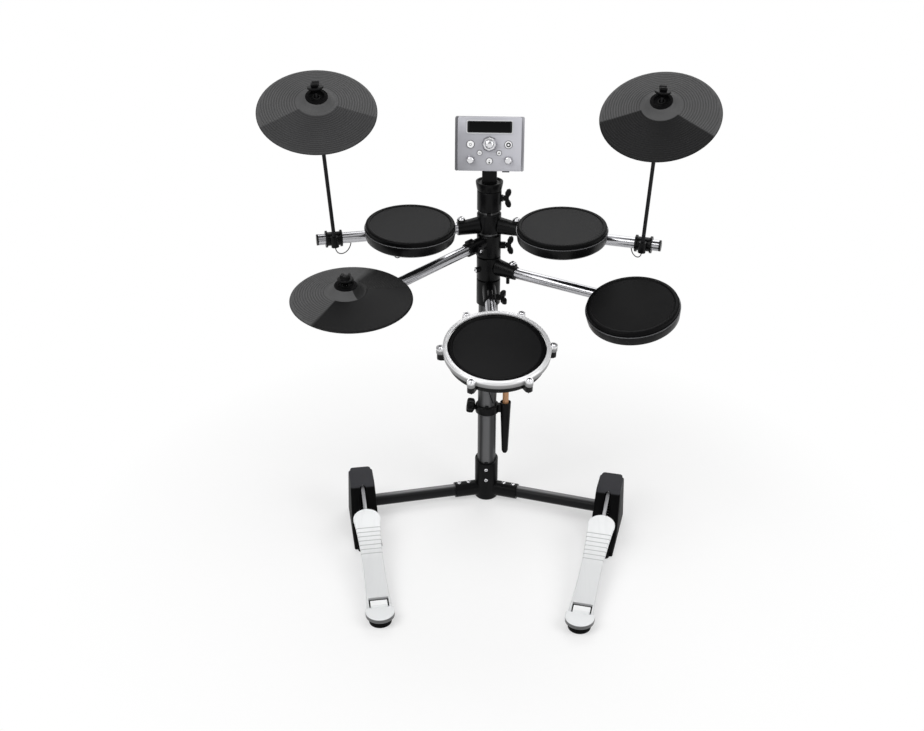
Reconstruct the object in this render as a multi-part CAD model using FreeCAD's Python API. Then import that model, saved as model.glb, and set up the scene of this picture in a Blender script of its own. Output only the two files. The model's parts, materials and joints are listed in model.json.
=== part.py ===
"""Electronic drum kit on a single column: pads, cymbals, sound module, stick holder and two pedals.

Millimetres. +Z is up, the drummer sits on the -Y side; the origin is on the floor under the column's axis.
"""
import FreeCAD
import Part
import math
import os
from FreeCAD import Matrix, Placement, Rotation, Vector

# Fits between pieces.
running_gap = 0.08
seat_gap = 0.10
touch_gap = 0.30
overrun = 5.0

# Column, hub and legs.
column_radius = 22.5
column_wall = 2.5
hub_wall = 6.0
hub_front_height = 104.0
hub_slant = 5.0
hub_floor = 6.0
hub_foot_chamfer = 2.5
hub_radius = column_radius + hub_wall
leg_angle = 15.4
leg_radius = 15.0
leg_wall = 1.8
leg_clamp_wall = 4.0
leg_clear = 6.0
leg_start_gap = 2.5
leg_grip = 50.0
leg_length = 275.0
leg_socket_radius = leg_radius + leg_clamp_wall
leg_height = leg_socket_radius + leg_clear
leg_start = hub_radius + leg_start_gap
leg_socket_end = leg_start + leg_grip
leg_end = leg_start + leg_length
key_tab_width = 9.0
key_tab_height = 5.0
key_tab_thickness = 2.6

# Sleeves on the column, stacked upward from the snare's to the module's under its funnel cap.
sleeve_wall = 5.0
sleeve_edge = 2.0
stack_low = 536.0
close_gap = 0.5
snare_sleeve_length = 63.0
pad_sleeve_length = 55.5
hihat_sleeve_length = 53.5
tom_sleeve_gap = 6.0
tom_sleeve_length = 45.0
module_sleeve_gap = 6.0
module_sleeve_length = 48.0
funnel_flare = 3.0
funnel_rim = 5.0
funnel_height = 20.0
funnel_roof = 9.0
funnel_dish = 4.0
funnel_wall = 3.0
sleeve_radius = column_radius + sleeve_wall
snare_sleeve_low = stack_low
snare_sleeve_high = snare_sleeve_low + snare_sleeve_length
pad_sleeve_low = snare_sleeve_high + close_gap
pad_sleeve_high = pad_sleeve_low + pad_sleeve_length
hihat_sleeve_low = pad_sleeve_high + close_gap
hihat_sleeve_high = hihat_sleeve_low + hihat_sleeve_length
tom_sleeve_low = hihat_sleeve_high + tom_sleeve_gap
tom_sleeve_high = tom_sleeve_low + tom_sleeve_length
module_sleeve_low = tom_sleeve_high + module_sleeve_gap
module_sleeve_high = module_sleeve_low + module_sleeve_length
column_top = module_sleeve_high + funnel_height - funnel_roof
funnel_radius = sleeve_radius + funnel_flare

# Arm tubes and the sockets that hold them. Angles are seen from above, counted from +X.
arm_radius = 12.2
arm_wall = 1.6
arm_start_gap = 1.5
arm_cap_thickness = 4.0
arm_plug_depth = 10.0
socket_wall = 3.4
socket_length = 45.5
ear_length = 17.0
ear_width = 12.0
ear_rise = 7.0
tom_arm_angle = 15.0
hihat_arm_angle = 229.3
hihat_arm_droop_angle = 3.0
pad_arm_angle = -30.2
snare_arm_angle = -84.8
snare_arm_droop_angle = 15.5
tom_arm_share = 0.267
hihat_arm_share = 0.701
pad_arm_share = 0.50431
snare_arm_share = 0.85702
arm_start = sleeve_radius + arm_start_gap
socket_radius = arm_radius + socket_wall
socket_end = sleeve_radius + socket_length
tom_arm_height = tom_sleeve_low + tom_sleeve_length * tom_arm_share
hihat_arm_height = hihat_sleeve_low + hihat_sleeve_length * hihat_arm_share
pad_arm_height = pad_sleeve_low + pad_sleeve_length * pad_arm_share
snare_arm_height = snare_sleeve_low + snare_sleeve_length * snare_arm_share

# Wing bolts and lobed knobs in the sleeves.
bolt_radius = 3.0
bolt_boss_wall = 5.0
bolt_collar_wall = 3.5
bolt_collar_length = 4.0
module_boss_length = 3.5
hihat_boss_length = 10.5
wing_span = 42.0
wing_height = 14.0
wing_thickness = 9.0
module_bolt_share = 0.583
hihat_bolt_share = 0.477
pad_boss_share = 0.4834
pad_boss_angle = 215.0
snare_bolt_back = 15.0
hihat_knob_back = 16.0
hihat_knob_radius = 12.0
hihat_knob_length = 8.0
hihat_knob_lobes = 6
bolt_boss_radius = bolt_radius + bolt_boss_wall
bolt_collar_radius = bolt_radius + bolt_collar_wall
module_boss_end = sleeve_radius + module_boss_length
hihat_boss_end = sleeve_radius + hihat_boss_length
module_bolt_height = module_sleeve_low + module_sleeve_length * module_bolt_share
hihat_bolt_height = hihat_sleeve_low + hihat_sleeve_length * hihat_bolt_share
pad_boss_height = pad_sleeve_low + pad_sleeve_length * pad_boss_share
snare_bolt_reach = socket_end - snare_bolt_back

# Round pads: two toms and the low right pad, each on a saddle that grips its arm.
pad_radius = 100.0
pad_shell_height = 26.0
pad_bottom_inset = 9.0
pad_chamfer_inset = 3.0
pad_chamfer_height = 5.0
pad_ledge_drop = 4.0
pad_rim_wall = 2.6
pad_rise = 6.2
rubber_height = 14.0
rubber_edge = 4.0
rubber_lip_width = 2.4
rubber_dish_depth = 1.4
saddle_wall = 4.8
saddle_length = 32.0
pad_offset_share = 0.64
left_tom_reach = 192.5
right_tom_inset = 8.0
tom_tilt_angle = 5.0
low_pad_reach = 400.0
low_pad_arm_tail = 34.0
low_pad_tilt_angle = 15.0
pad_bottom_radius = pad_radius - pad_bottom_inset
pad_chamfer_radius = pad_radius - pad_chamfer_inset
pad_ledge_height = pad_shell_height - pad_ledge_drop
pad_offset = pad_radius * pad_offset_share
pad_seat = arm_radius + pad_rise
saddle_radius = arm_radius + saddle_wall
pad_arm_end = low_pad_reach + low_pad_arm_tail

# Snare pad.
snare_reach = 285.0
snare_arm_tail = 35.0
snare_radius = 107.0
snare_height = 30.0
snare_bottom_inset = 9.0
snare_chamfer_height = 6.0
hoop_overhang = 8.5
hoop_lap = 1.0
hoop_drop = 5.0
hoop_rise = 10.0
hoop_wall = 4.0
hoop_top_thickness = 4.0
head_thickness = 4.0
lug_count = 6
lug_out = 5.5
lug_ear_radius = 6.6
lug_block_width = 11.0
lug_block_height = 16.7
tension_screw_radius = 3.0
tension_head_radius = 5.0
tension_head_height = 4.0
snare_arm_end = snare_reach + snare_arm_tail
snare_bottom_radius = snare_radius - snare_bottom_inset
hoop_outer_radius = snare_radius + hoop_overhang
hoop_inner_radius = snare_radius - hoop_lap
hoop_low = snare_height - hoop_drop
hoop_high = snare_height + hoop_rise
lug_circle_radius = hoop_outer_radius + lug_out

# Cymbals with their rods, clamps and wing nuts.
rod_radius = 4.2
rod_top_radius = 3.0
rod_tip = 3.0
rod_below = 13.0
cymbal_radius = 126.0
bell_offset = 20.0
cymbal_edge_thickness = 5.0
cymbal_rise = 9.5
bell_rise = 13.0
bell_shoulder_rise = 8.0
bell_shoulder_width = 8.0
bell_slope_width = 14.0
bell_thickness = 5.0
cymbal_hole_gap = 2.8
washer_inner_radius = 12.0
washer_outer_radius = 22.0
washer_height = 3.0
rod_clamp_out = 60.5
rod_clamp_length = 37.0
rod_clamp_wall = 3.2
rod_clamp_flange_rise = 3.2
rod_clamp_flange_length = 4.5
rod_boss_wall = 4.4
rod_boss_half = 12.0
rod_arm_gap = 3.2
tom_arm_tail = 34.0
crash_rod_height = 322.5
left_rod_lean_angle = 4.0
right_rod_lean_angle = 3.2
crash_seat_drop = 8.0
hihat_seat_drop = 2.6
seat_cone_width = 4.8
seat_cone_height = 6.0
crash_nut_low = 10.5
hihat_nut_low = 5.0
nut_cone_height = 9.5
nut_body_radius = 17.0
nut_body_height = 3.5
nut_wing_span = 22.0
nut_wing_height = 9.5
nut_wing_thickness = 15.0
crash_nut_angle = 90.0
left_crash_tilt_angle = 26.4
left_crash_facing_angle = -80.0
left_crash_front_angle = -83.5
right_crash_tilt_angle = 30.0
right_crash_facing_angle = -107.0
right_crash_front_angle = -103.0
hihat_tilt_angle = 7.0
hihat_facing_angle = -81.0
hihat_front_angle = -50.0
hihat_rod_reach = 436.0
hihat_rod_rise = 50.0
hihat_arm_tail = 20.0
bell_shoulder_radius = washer_outer_radius + bell_shoulder_width
bell_radius = bell_shoulder_radius + bell_slope_width
cymbal_hole_radius = rod_top_radius + cymbal_hole_gap
rod_clamp_radius = arm_radius + rod_clamp_wall
rod_clamp_flange = rod_clamp_radius + rod_clamp_flange_rise
rod_boss_radius = rod_radius + rod_boss_wall
rod_stand_off = arm_radius + rod_arm_gap + rod_radius
rod_clamp_reach = left_tom_reach + pad_radius + rod_clamp_out
tom_arm_end = rod_clamp_reach + tom_arm_tail
hihat_arm_end = hihat_rod_reach + hihat_arm_tail
seat_cone_radius = rod_radius + seat_cone_width

# Sound module. Places on its front are shares of its half width and half height.
module_width = 150.0
module_height = 116.0
module_corner = 3.5
module_bulge = 8.0
module_front_edge = 6.0
module_rear_depth = 24.0
module_rear_chamfer = 7.0
module_side_strip = 6.0
module_centre_y = -26.0
module_rise = 113.5
module_tilt_angle = 12.0
module_hinge_back = 10.0
module_hinge_low_share = 0.655
module_hinge_pin = 4.0
module_lug_wall = 4.0
module_lug_width = 7.0
neck_tongue_width = 24.0
neck_tongue_wall = 3.6
neck_width = 33.0
neck_depth = 17.0
neck_rise = 38.0
display_width = 88.0
display_height = 21.0
display_thickness = 2.6
display_bezel = 3.2
display_bezel_rise = 1.2
dial_radius = 15.8
dial_height = 12.0
dial_skirt = 2.4
dial_skirt_overhang = 0.9
dial_facets = 18
knob_radius = 8.7
knob_height = 10.0
knob_flutes = 10
control_shaft_radius = 3.0
control_shaft_depth = 8.0
control_lift = 0.9
button_depth = 6.0
button_rise = 3.0
button_travel = 1.2
side_button_radius = 7.8
small_button_radius = 5.0
play_button_radius = 6.6
display_place_shares = (0.0, 0.638)
dial_place_shares = (0.0, 0.026)
knob_place_shares = (0.547, -0.56)
side_button_place_shares = (0.547, 0.0)
small_button_place_shares = (0.28, -0.31)
play_button_place_shares = (0.0, -0.62)
module_centre_z = module_sleeve_high + module_rise
module_lug_radius = module_hinge_pin + module_lug_wall
neck_tongue_radius = module_hinge_pin + neck_tongue_wall

# Stick holder and sticks.
stick_ring_wall = 6.0
stick_ring_length = 22.0
stick_ring_share = 0.3218
cup_gap = 3.3
cup_above = 5.0
cup_below = 116.0
cup_radius = 13.2
cup_foot_inset = 4.2
cup_wall = 2.2
cup_web_width = 10.0
cup_angles = (0.0, 78.0)
stick_radius = 7.4
stick_length = 356.0
stick_neck_radius = 4.6
stick_tip_radius = 5.4
stick_taper_length = 120.0
stick_tip_length = 14.0
holder_knob_radius = 8.5
holder_knob_length = 15.0
holder_knob_lobes = 6
holder_knob_angle = 180.0
stick_ring_radius = column_radius + stick_ring_wall
stick_ring_low = hub_front_height + (stack_low - hub_front_height) * stick_ring_share
stick_ring_high = stick_ring_low + stick_ring_length
cup_distance = stick_ring_radius + cup_gap + cup_radius
cup_top = stick_ring_high + cup_above
cup_tip = stick_ring_low - cup_below
cup_foot_radius = cup_radius - cup_foot_inset

# Pedals. Along a pedal, lengths are counted from the back of the heel plate; its tower stands at a leg's end.
pedal_yaw_angle = 11.9
leg_end_inset = 10.8
leg_end_back = 23.6
heel_radius = 32.0
heel_low = 18.0
heel_thickness = 12.0
heel_edge = 3.0
heel_foot_inset = 7.0
heel_foot_length = 44.0
base_plate_thickness = 4.0
base_plate_lap = 43.0
base_plate_width = 38.0
hinge_along = 48.0
hinge_rise = 6.0
hinge_pin_radius = 3.0
hinge_barrel_wall = 3.0
hinge_knuckle_width = 34.0
hinge_notch_gap = 5.0
hinge_tongue_length = 20.0
board_angle = 10.3
board_length = 303.0
board_heel_width = 56.0
board_waist_width = 48.0
board_toe_width = 61.0
board_toe_length = 41.0
board_thickness = 7.0
board_below_pin = 1.5
board_edge = 1.6
board_waist_share = 0.4
ridge_count = 7
ridge_pitch = 13.5
ridge_width = 4.0
ridge_height = 1.2
ridge_toe_gap = 23.0
toe_pin_back = 7.0
toe_pin_drop = 10.0
toe_pin_radius = 3.0
toe_ear_side_gap = 1.0
toe_ear_width = 5.0
toe_ear_wall = 3.0
link_eye_wall = 3.4
link_eye_slack = 1.0
link_width = 8.0
link_thickness = 6.0
link_run = 83.0
link_rise = 32.9
link_cap_width = 1.6
link_cap_below = 6.0
link_cap_above = 3.0
spring_radius = 5.2
spring_wire = 1.6
tower_width = 50.0
tower_corner = 12.0
tower_front_height = 14.0
tower_face_low = 34.0
tower_brow_drop = 6.0
tower_roof = 5.0
tower_tail = 17.0
tower_front_run = 137.0
tower_step_run = 78.0
tower_face_run = 54.0
tower_brow_run = 14.0
slot_side_gap = 3.0
slot_roof_rise = 7.0
slot_floor = 4.0
slot_back_run = 46.0
heel_high = heel_low + heel_thickness
heel_foot_radius = heel_radius - heel_foot_inset
base_plate_low = heel_low - base_plate_thickness
hinge_height = heel_low + hinge_rise
hinge_barrel_radius = hinge_pin_radius + hinge_barrel_wall
hinge_notch_width = hinge_knuckle_width + 2 * hinge_notch_gap
hinge_notch_length = hinge_tongue_length + hinge_notch_gap
board_toe_start = board_length - board_toe_length
board_waist_along = board_toe_start * board_waist_share
ridge_first = board_toe_start - ridge_toe_gap - (ridge_count - 1) * ridge_pitch
toe_pin_along = board_length - toe_pin_back
toe_ear_gap = link_width + 2 * toe_ear_side_gap
toe_ear_radius = toe_pin_radius + toe_ear_wall
link_eye_radius = toe_pin_radius + link_eye_slack + link_eye_wall
slot_width = link_width + 2 * slot_side_gap
slot_low = heel_low + slot_floor
link_cap_radius = link_width / 2 + link_cap_width

# Cords. Each route is a table of shares of the way from its start to its end, with a share of its sag.
cord_radius = 1.1
left_cable_span = 38.0
left_cable_sag = 17.0
right_cable_span = 27.0
right_cable_sag = 13.0
left_cable_shares = ((0.0, 0.0, 0.0, 0.0), (0.02, 0.0, 0.0, 0.4), (0.2, 0.05, 0.0, 0.85),
                     (0.5, 0.2, 0.1, 1.0),
                     (0.8, 0.55, 0.3, 0.8), (0.97, 0.9, 0.7, 0.35), (1.0, 1.0, 1.0, 0.0))
right_cable_shares = ((0.0, 0.0, 0.0, 0.0), (0.03, 0.0, 0.0, 0.45), (0.25, 0.1, 0.0, 0.9),
                      (0.6, 0.4, 0.2, 1.0),
                      (0.93, 0.85, 0.6, 0.6), (1.0, 1.0, 1.0, 0.0))
tom_loop_start = 12.0
tom_loop_width = 21.0
tom_loop_forward = 12.0
tom_loop_sag = 64.0
tom_loop_shares = ((0.0, 0.0, 0.0), (-0.1, 0.6, 0.4), (0.0, 1.0, 0.76), (0.26, 1.0, 0.98), (0.74, 1.0, 0.98),
                   (1.0, 1.0, 0.76), (1.1, 0.6, 0.4), (1.0, 0.0, 0.0))
snare_cord_reach = 150.0
snare_cord_angle = -50.0
snare_cord_above = 11.0
snare_cord_sway = 12.0
snare_cord_shares = ((0.0, 0.0, 0.0, 0.0), (0.0, 0.03, 0.13, 0.05), (0.0, 0.15, 0.29, 0.25),
                     (0.0, 0.4, 0.45, 0.6),
                     (0.0, 0.68, 0.59, 0.95), (0.1, 0.87, 0.74, 1.05), (0.5, 0.94, 0.88, 0.8),
                     (1.0, 1.0, 1.0, 0.0))

UP = Vector(0, 0, 1)
ORIGIN = Vector(0, 0, 0)
LONG = Vector(1, 0, 0)
SIDE = Vector(0, 1, 0)


def turned(profile):
    """A solid of revolution about Z from an outline of (radius, height) points."""
    points = [Vector(radius, 0, height) for radius, height in profile]
    face = Part.Face(Part.makePolygon(points + points[:1]))
    return face.revolve(ORIGIN, UP, 360)


def bar(radius, start, end):
    """A round bar between two points."""
    return Part.makeCylinder(radius, (end - start).Length, start, end - start)


def pipe(radius, wall, start, end):
    """A round tube between two points."""
    return bar(radius, start, end).cut(bar(radius - wall, start, end))


def block(low, high):
    """A box between two opposite corners."""
    return Part.makeBox(high.x - low.x, high.y - low.y, high.z - low.z, low)


def plate(points, thickness, direction):
    """A flat outline pushed along a direction."""
    face = Part.Face(Part.makePolygon(points + points[:1]))
    return face.extrude(direction * thickness)


def frame(origin, along, upward):
    """A local frame whose X runs exactly along a direction and whose Z is as near upward as it can be."""
    x = Vector(along).normalize()
    z = (upward - x * upward.dot(x)).normalize()
    y = z.cross(x)
    return Placement(Matrix(x.x, y.x, z.x, origin.x,
                            x.y, y.y, z.y, origin.y,
                            x.z, y.z, z.z, origin.z,
                            0, 0, 0, 1))


def put(shape, place):
    """A copy of a shape, moved from its local frame."""
    moved = shape.copy()
    moved.Placement = place.multiply(shape.Placement)
    return moved


def straight_edges(shape, direction):
    """The straight edges of a shape that run along a direction."""
    found = []
    for edge in shape.Edges:
        if edge.Curve.TypeId == "Part::GeomLine":
            parallel_share = 0.999
            if abs(edge.Curve.Direction.dot(direction)) > parallel_share:
                found.append(edge)
    return found


def save(name, *solids):
    """One file for one named piece, or for a group of like pieces."""
    shape = solids[0] if len(solids) == 1 else Part.makeCompound(list(solids))
    shape.exportStep("parts/" + name + ".step")
    return shape


def polar(angle, droop=0.0):
    """A unit direction from an angle seen from above and a fall below the horizontal."""
    a = math.radians(angle)
    d = math.radians(droop)
    return Vector(math.cos(a) * math.cos(d), math.sin(a) * math.cos(d), -math.sin(d))


def round_path(points):
    """Straight runs joined by tangent arcs, each as large as its two runs allow."""
    edges = []
    radii = []
    at = points[0]
    for i in range(1, len(points) - 1):
        corner = points[i]
        inward = corner - points[i - 1]
        outward = points[i + 1] - corner
        shorter = min(inward.Length, outward.Length)
        back = Vector(inward).normalize()
        on = Vector(outward).normalize()
        reach_share = 0.45
        half = back.getAngle(on) / 2
        first = corner - back * (shorter * reach_share)
        last = corner + on * (shorter * reach_share)
        radius = shorter * reach_share / math.tan(half)
        middle_way = (on - back).normalize()
        middle = corner + middle_way * (radius / math.cos(half) - radius)
        edges.append(Part.LineSegment(at, first).toShape())
        edges.append(Part.Arc(first, middle, last).toShape())
        radii.append(radius)
        at = last
    edges.append(Part.LineSegment(at, points[-1]).toShape())
    return Part.Wire(edges), radii


def cord(name, points):
    """A thin round cord along a route of points."""
    wire, radii = round_path(points)
    ring = Part.Wire([Part.Circle(points[0], points[1] - points[0], cord_radius).toShape()])
    solid = wire.makePipeShell([ring], True, False)
    print(name, "length", round(wire.Length, 1), "radii", [round(r, 1) for r in radii],
          "volume ratio", round(solid.Volume / (math.pi * cord_radius ** 2 * wire.Length), 4))
    return solid


os.makedirs("parts", exist_ok=True)

# Column, hub and legs.
column_base = Vector(0, 0, hub_floor)
column = pipe(column_radius, column_wall, column_base, Vector(0, 0, column_top))
save("column_tube", column)
column_bore = bar(column_radius + running_gap, ORIGIN, Vector(0, 0, column_top + overrun))

hub_back_height = hub_front_height + 2 * hub_slant
hub = turned([(0, 0), (hub_radius - hub_foot_chamfer, 0), (hub_radius, hub_foot_chamfer),
              (hub_radius, hub_back_height), (0, hub_back_height)])
slant_half = hub_radius + overrun
slant_rise = hub_slant * slant_half / hub_radius
slant_mid = hub_front_height + hub_slant
slant_top = hub_back_height + slant_rise
hub_slice = plate([Vector(-slant_half, -slant_half, slant_mid - slant_rise),
                   Vector(-slant_half, slant_half, slant_mid + slant_rise),
                   Vector(-slant_half, slant_half, slant_top + overrun),
                   Vector(-slant_half, -slant_half, slant_top + overrun)], 2 * slant_half, LONG)
hub = hub.cut(hub_slice)
hub = hub.fuse(block(Vector(-key_tab_width / 2, -column_radius - key_tab_thickness,
                            hub_front_height - overrun),
                     Vector(key_tab_width / 2, 0, hub_front_height + key_tab_height)))
leg_tubes = []
leg_bores = []
for angle in (180 + leg_angle, -leg_angle):
    way = polar(angle)
    axis_point = Vector(0, 0, leg_height)
    hub = hub.fuse(bar(leg_socket_radius, axis_point, axis_point + way * leg_socket_end))
    bore = bar(leg_radius + seat_gap, axis_point + way * leg_start, axis_point + way * (leg_end + touch_gap))
    leg_bores.append(bore)
    leg_tubes.append(pipe(leg_radius, leg_wall, axis_point + way * leg_start, axis_point + way * leg_end))
hub = hub.cut(bar(column_radius + seat_gap, column_base, Vector(0, 0, slant_top)))
for bore in leg_bores:
    hub = hub.cut(bore)
save("base_hub", hub.removeSplitter())
save("leg_tubes", *leg_tubes)


def sleeve(low, high, radius):
    """A plain ring that turns on the column, with eased edges, before its column bore is cut."""
    return turned([(0, low), (radius - sleeve_edge, low), (radius, low + sleeve_edge),
                   (radius, high - sleeve_edge), (radius - sleeve_edge, high), (0, high)])


def key_tab(high):
    """The small tab that stands on the front of a sleeve's upper rim."""
    return block(Vector(-key_tab_width / 2, -column_radius - key_tab_thickness, high - overrun),
                 Vector(key_tab_width / 2, 0, high + key_tab_height))


def arm_place(height, angle, droop=0.0):
    """The local frame of an arm: X outward along the arm from the column's axis."""
    return frame(Vector(0, 0, height), polar(angle, droop), UP)


def socket(place):
    """An arm's socket with its clamping ear on top, in place, before its arm bore is cut."""
    body = bar(socket_radius, ORIGIN, LONG * socket_end)
    ear_top = socket_radius + ear_rise
    ear_start = socket_end - ear_length
    ear_round = ear_width / 2
    ear = block(Vector(ear_start, -ear_width / 2, 0), Vector(socket_end, ear_width / 2, ear_top))
    upper = [edge for edge in straight_edges(ear, LONG) if edge.CenterOfMass.z > ear_rise]
    ear = ear.makeFillet(ear_round - seat_gap, upper)
    return put(body.fuse(ear), place)


def arm_bore(place):
    """The hole that an arm tube fills in its socket."""
    return put(bar(arm_radius + seat_gap, LONG * arm_start, LONG * (socket_end + overrun)), place)


def arm_tube(place, end):
    """An arm tube, from inside its socket to its outer end."""
    return put(pipe(arm_radius, arm_wall, LONG * arm_start, LONG * end), place)


def wing_outline(span, height):
    """The outline of a pair of wings with a notch between them, standing on its middle."""
    shares = [(-0.28, 0.0), (-0.46, 0.3), (-0.5, 0.7), (-0.44, 0.95), (-0.34, 1.0), (-0.22, 0.9),
              (-0.1, 0.62),
              (0.1, 0.62), (0.22, 0.9), (0.34, 1.0), (0.44, 0.95), (0.5, 0.7), (0.46, 0.3), (0.28, 0.0)]
    return [Vector(span * across, 0, height * up) for across, up in shares]


def wings(span, height, thickness, low):
    """A pair of wings across the Z axis, from a height upward."""
    outline = [point + UP * low - SIDE * (thickness / 2) for point in wing_outline(span, height)]
    return plate(outline, thickness, SIDE)


def wing_bolt(root, collar):
    """A wing bolt along Z: shaft from its root, collar from the boss's face, wings beyond."""
    shaft = bar(bolt_radius, UP * root, UP * (collar + bolt_collar_length))
    ring = bar(bolt_collar_radius, UP * collar, UP * (collar + bolt_collar_length))
    wing = wings(wing_span, wing_height, wing_thickness, collar + bolt_collar_length - seat_gap)
    return shaft.fuse(ring).fuse(wing)


def bolt_place(height, angle):
    """The frame of a bolt that points at the column's axis: Z outward."""
    out = polar(angle)
    return frame(Vector(0, 0, height), UP, out)


bolt_root = column_radius + running_gap + touch_gap


def bolt_boss(place, end):
    """The boss that a wing bolt screws into."""
    return put(bar(bolt_boss_radius, ORIGIN, UP * end), place)


def bolt_hole(place, end):
    """The hole for a wing bolt's shaft."""
    return put(bar(bolt_radius + running_gap, ORIGIN, UP * (end + overrun)), place)


# Module sleeve with its wing bolt.
module_bolt_place = bolt_place(module_bolt_height, 0.0)
module_sleeve = sleeve(module_sleeve_low, module_sleeve_high, sleeve_radius)
module_sleeve = module_sleeve.fuse(bolt_boss(module_bolt_place, module_boss_end))
module_sleeve = module_sleeve.cut(column_bore).cut(bolt_hole(module_bolt_place, module_boss_end))
save("module_sleeve", module_sleeve)
module_bolt = put(wing_bolt(bolt_root, module_boss_end + touch_gap), module_bolt_place)
save("module_wing_bolt", module_bolt)

# Module hinge: the axis lies behind the rear case, over the column.
module_place = Placement(Vector(0, module_centre_y, module_centre_z), Rotation(LONG, -module_tilt_angle))
module_hinge_low = module_height / 2 * module_hinge_low_share
hinge_local = Vector(0, module_rear_depth + module_hinge_back, -module_hinge_low)
module_hinge = module_place.multVec(hinge_local)

# Funnel cap, neck and tongue.
funnel_low = module_sleeve_high + touch_gap
funnel_high = funnel_low + funnel_height
dish_radius = funnel_radius - funnel_wall
dish_floor = funnel_high - funnel_dish
neck = turned([(0, funnel_low), (sleeve_radius, funnel_low), (funnel_radius, funnel_high - funnel_rim),
               (funnel_radius, funnel_high), (dish_radius, funnel_high),
               (dish_radius - funnel_dish, dish_floor),
               (0, dish_floor)])
neck_high = funnel_high + neck_rise
neck_block = block(Vector(-neck_width / 2, module_hinge.y - neck_tongue_radius, column_top),
                   Vector(neck_width / 2, module_hinge.y - neck_tongue_radius + neck_depth, neck_high))
neck_block = neck_block.makeFillet(sleeve_edge, straight_edges(neck_block, UP))
tongue = block(Vector(-neck_tongue_width / 2, module_hinge.y - neck_tongue_radius, neck_high - overrun),
               Vector(neck_tongue_width / 2, module_hinge.y + neck_tongue_radius, module_hinge.z))
tongue_half = LONG * (neck_tongue_width / 2)
tongue = tongue.fuse(bar(neck_tongue_radius, module_hinge - tongue_half, module_hinge + tongue_half))
pin_half = LONG * (neck_tongue_width / 2 + touch_gap + module_lug_width + touch_gap)
hinge_pin = bar(module_hinge_pin, module_hinge - pin_half, module_hinge + pin_half)
neck = neck.fuse(neck_block).fuse(tongue).fuse(hinge_pin)
neck = neck.cut(bar(column_radius + running_gap, UP * (funnel_low - overrun), UP * (column_top + touch_gap)))
save("module_neck", neck.removeSplitter())

# Module cases. Local frame: X right, Y towards the back, Z up the face.
half_width = module_width / 2
half_height = module_height / 2


def rounded_slab(width, height, corner, front, back):
    """A slab with rounded corners, between two depths."""
    slab = block(Vector(-width / 2, front, -height / 2), Vector(width / 2, back, height / 2))
    return slab.makeFillet(corner, straight_edges(slab, SIDE))


bulge_radius = (half_height ** 2 + module_bulge ** 2) / (2 * module_bulge)
bulge_centre_y = -module_front_edge - module_bulge + bulge_radius
front_width = module_width - 2 * module_side_strip
front = rounded_slab(front_width, module_height, module_corner, -module_front_edge - module_bulge - overrun,
                     0)
bulge = bar(bulge_radius, Vector(-module_width, bulge_centre_y, 0), Vector(module_width, bulge_centre_y, 0))
front = front.common(bulge)


def on_front(across_share, up_share):
    """The local frame on the curved front at shares of its half sizes: Z straight out of the surface."""
    slope = math.asin(half_height * up_share / bulge_radius)
    out = Vector(0, -math.cos(slope), math.sin(slope))
    point = Vector(half_width * across_share, bulge_centre_y, 0) + out * bulge_radius
    return frame(point, LONG, out)


def slab_on(place, width, height, low, high):
    """A small box standing on the front, between two heights over the surface."""
    return put(block(Vector(-width / 2, -height / 2, low), Vector(width / 2, height / 2, high)), place)


display_place = on_front(*display_place_shares)
bezel_width = display_width + 2 * display_bezel
bezel_height = display_height + 2 * display_bezel
front = front.fuse(slab_on(display_place, bezel_width, bezel_height, -display_thickness, display_bezel_rise))
display_floor = display_bezel_rise - display_thickness - seat_gap
front = front.cut(slab_on(display_place, display_width + 2 * seat_gap, display_height + 2 * seat_gap,
                          display_floor, display_bezel_rise + overrun))
display = slab_on(display_place, display_width, display_height, display_floor,
                  display_floor + display_thickness)


def facet_ring(radius, count, height, depth_share):
    """A wire with pointed flutes round the Z axis."""
    points = []
    for i in range(2 * count):
        r = radius if i % 2 == 0 else radius * (1 - depth_share)
        a = math.pi * i / count
        points.append(Vector(r * math.cos(a), r * math.sin(a), height))
    return Part.makePolygon(points + points[:1])


def turning_control(radius, height, count, taper_share, depth_share):
    """A fluted knob with a skirt and a shaft, along Z from the panel's surface."""
    skirt = bar(radius + dial_skirt_overhang, UP * control_lift, UP * (control_lift + dial_skirt))
    low = facet_ring(radius, count, control_lift + dial_skirt, depth_share)
    high = facet_ring(radius * (1 - taper_share), count, control_lift + height, depth_share)
    body = Part.makeLoft([low, high], True, True)
    shaft = bar(control_shaft_radius, UP * -control_shaft_depth, UP * (control_lift + dial_skirt))
    return skirt.fuse(body).fuse(shaft)


def control_hole(place):
    """The hole for a knob's shaft."""
    deep = UP * -(control_shaft_depth + touch_gap)
    return put(bar(control_shaft_radius + running_gap, deep, UP * overrun), place)


knob_taper_share = 0.1
dial_flute_share = 0.035
knob_flute_share = 0.06
knob_across_share, knob_up_share = knob_place_shares
controls = {
    "main_dial": (on_front(*dial_place_shares), dial_radius, dial_height, dial_facets, dial_flute_share),
    "volume_knob": (on_front(-knob_across_share, knob_up_share), knob_radius, knob_height, knob_flutes,
                    knob_flute_share),
    "tempo_knob": (on_front(knob_across_share, knob_up_share), knob_radius, knob_height, knob_flutes,
                   knob_flute_share),
}
for name, (place, radius, height, count, flute) in controls.items():
    front = front.cut(control_hole(place))
    save(name, put(turning_control(radius, height, count, knob_taper_share, flute),
                   module_place.multiply(place)))

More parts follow.
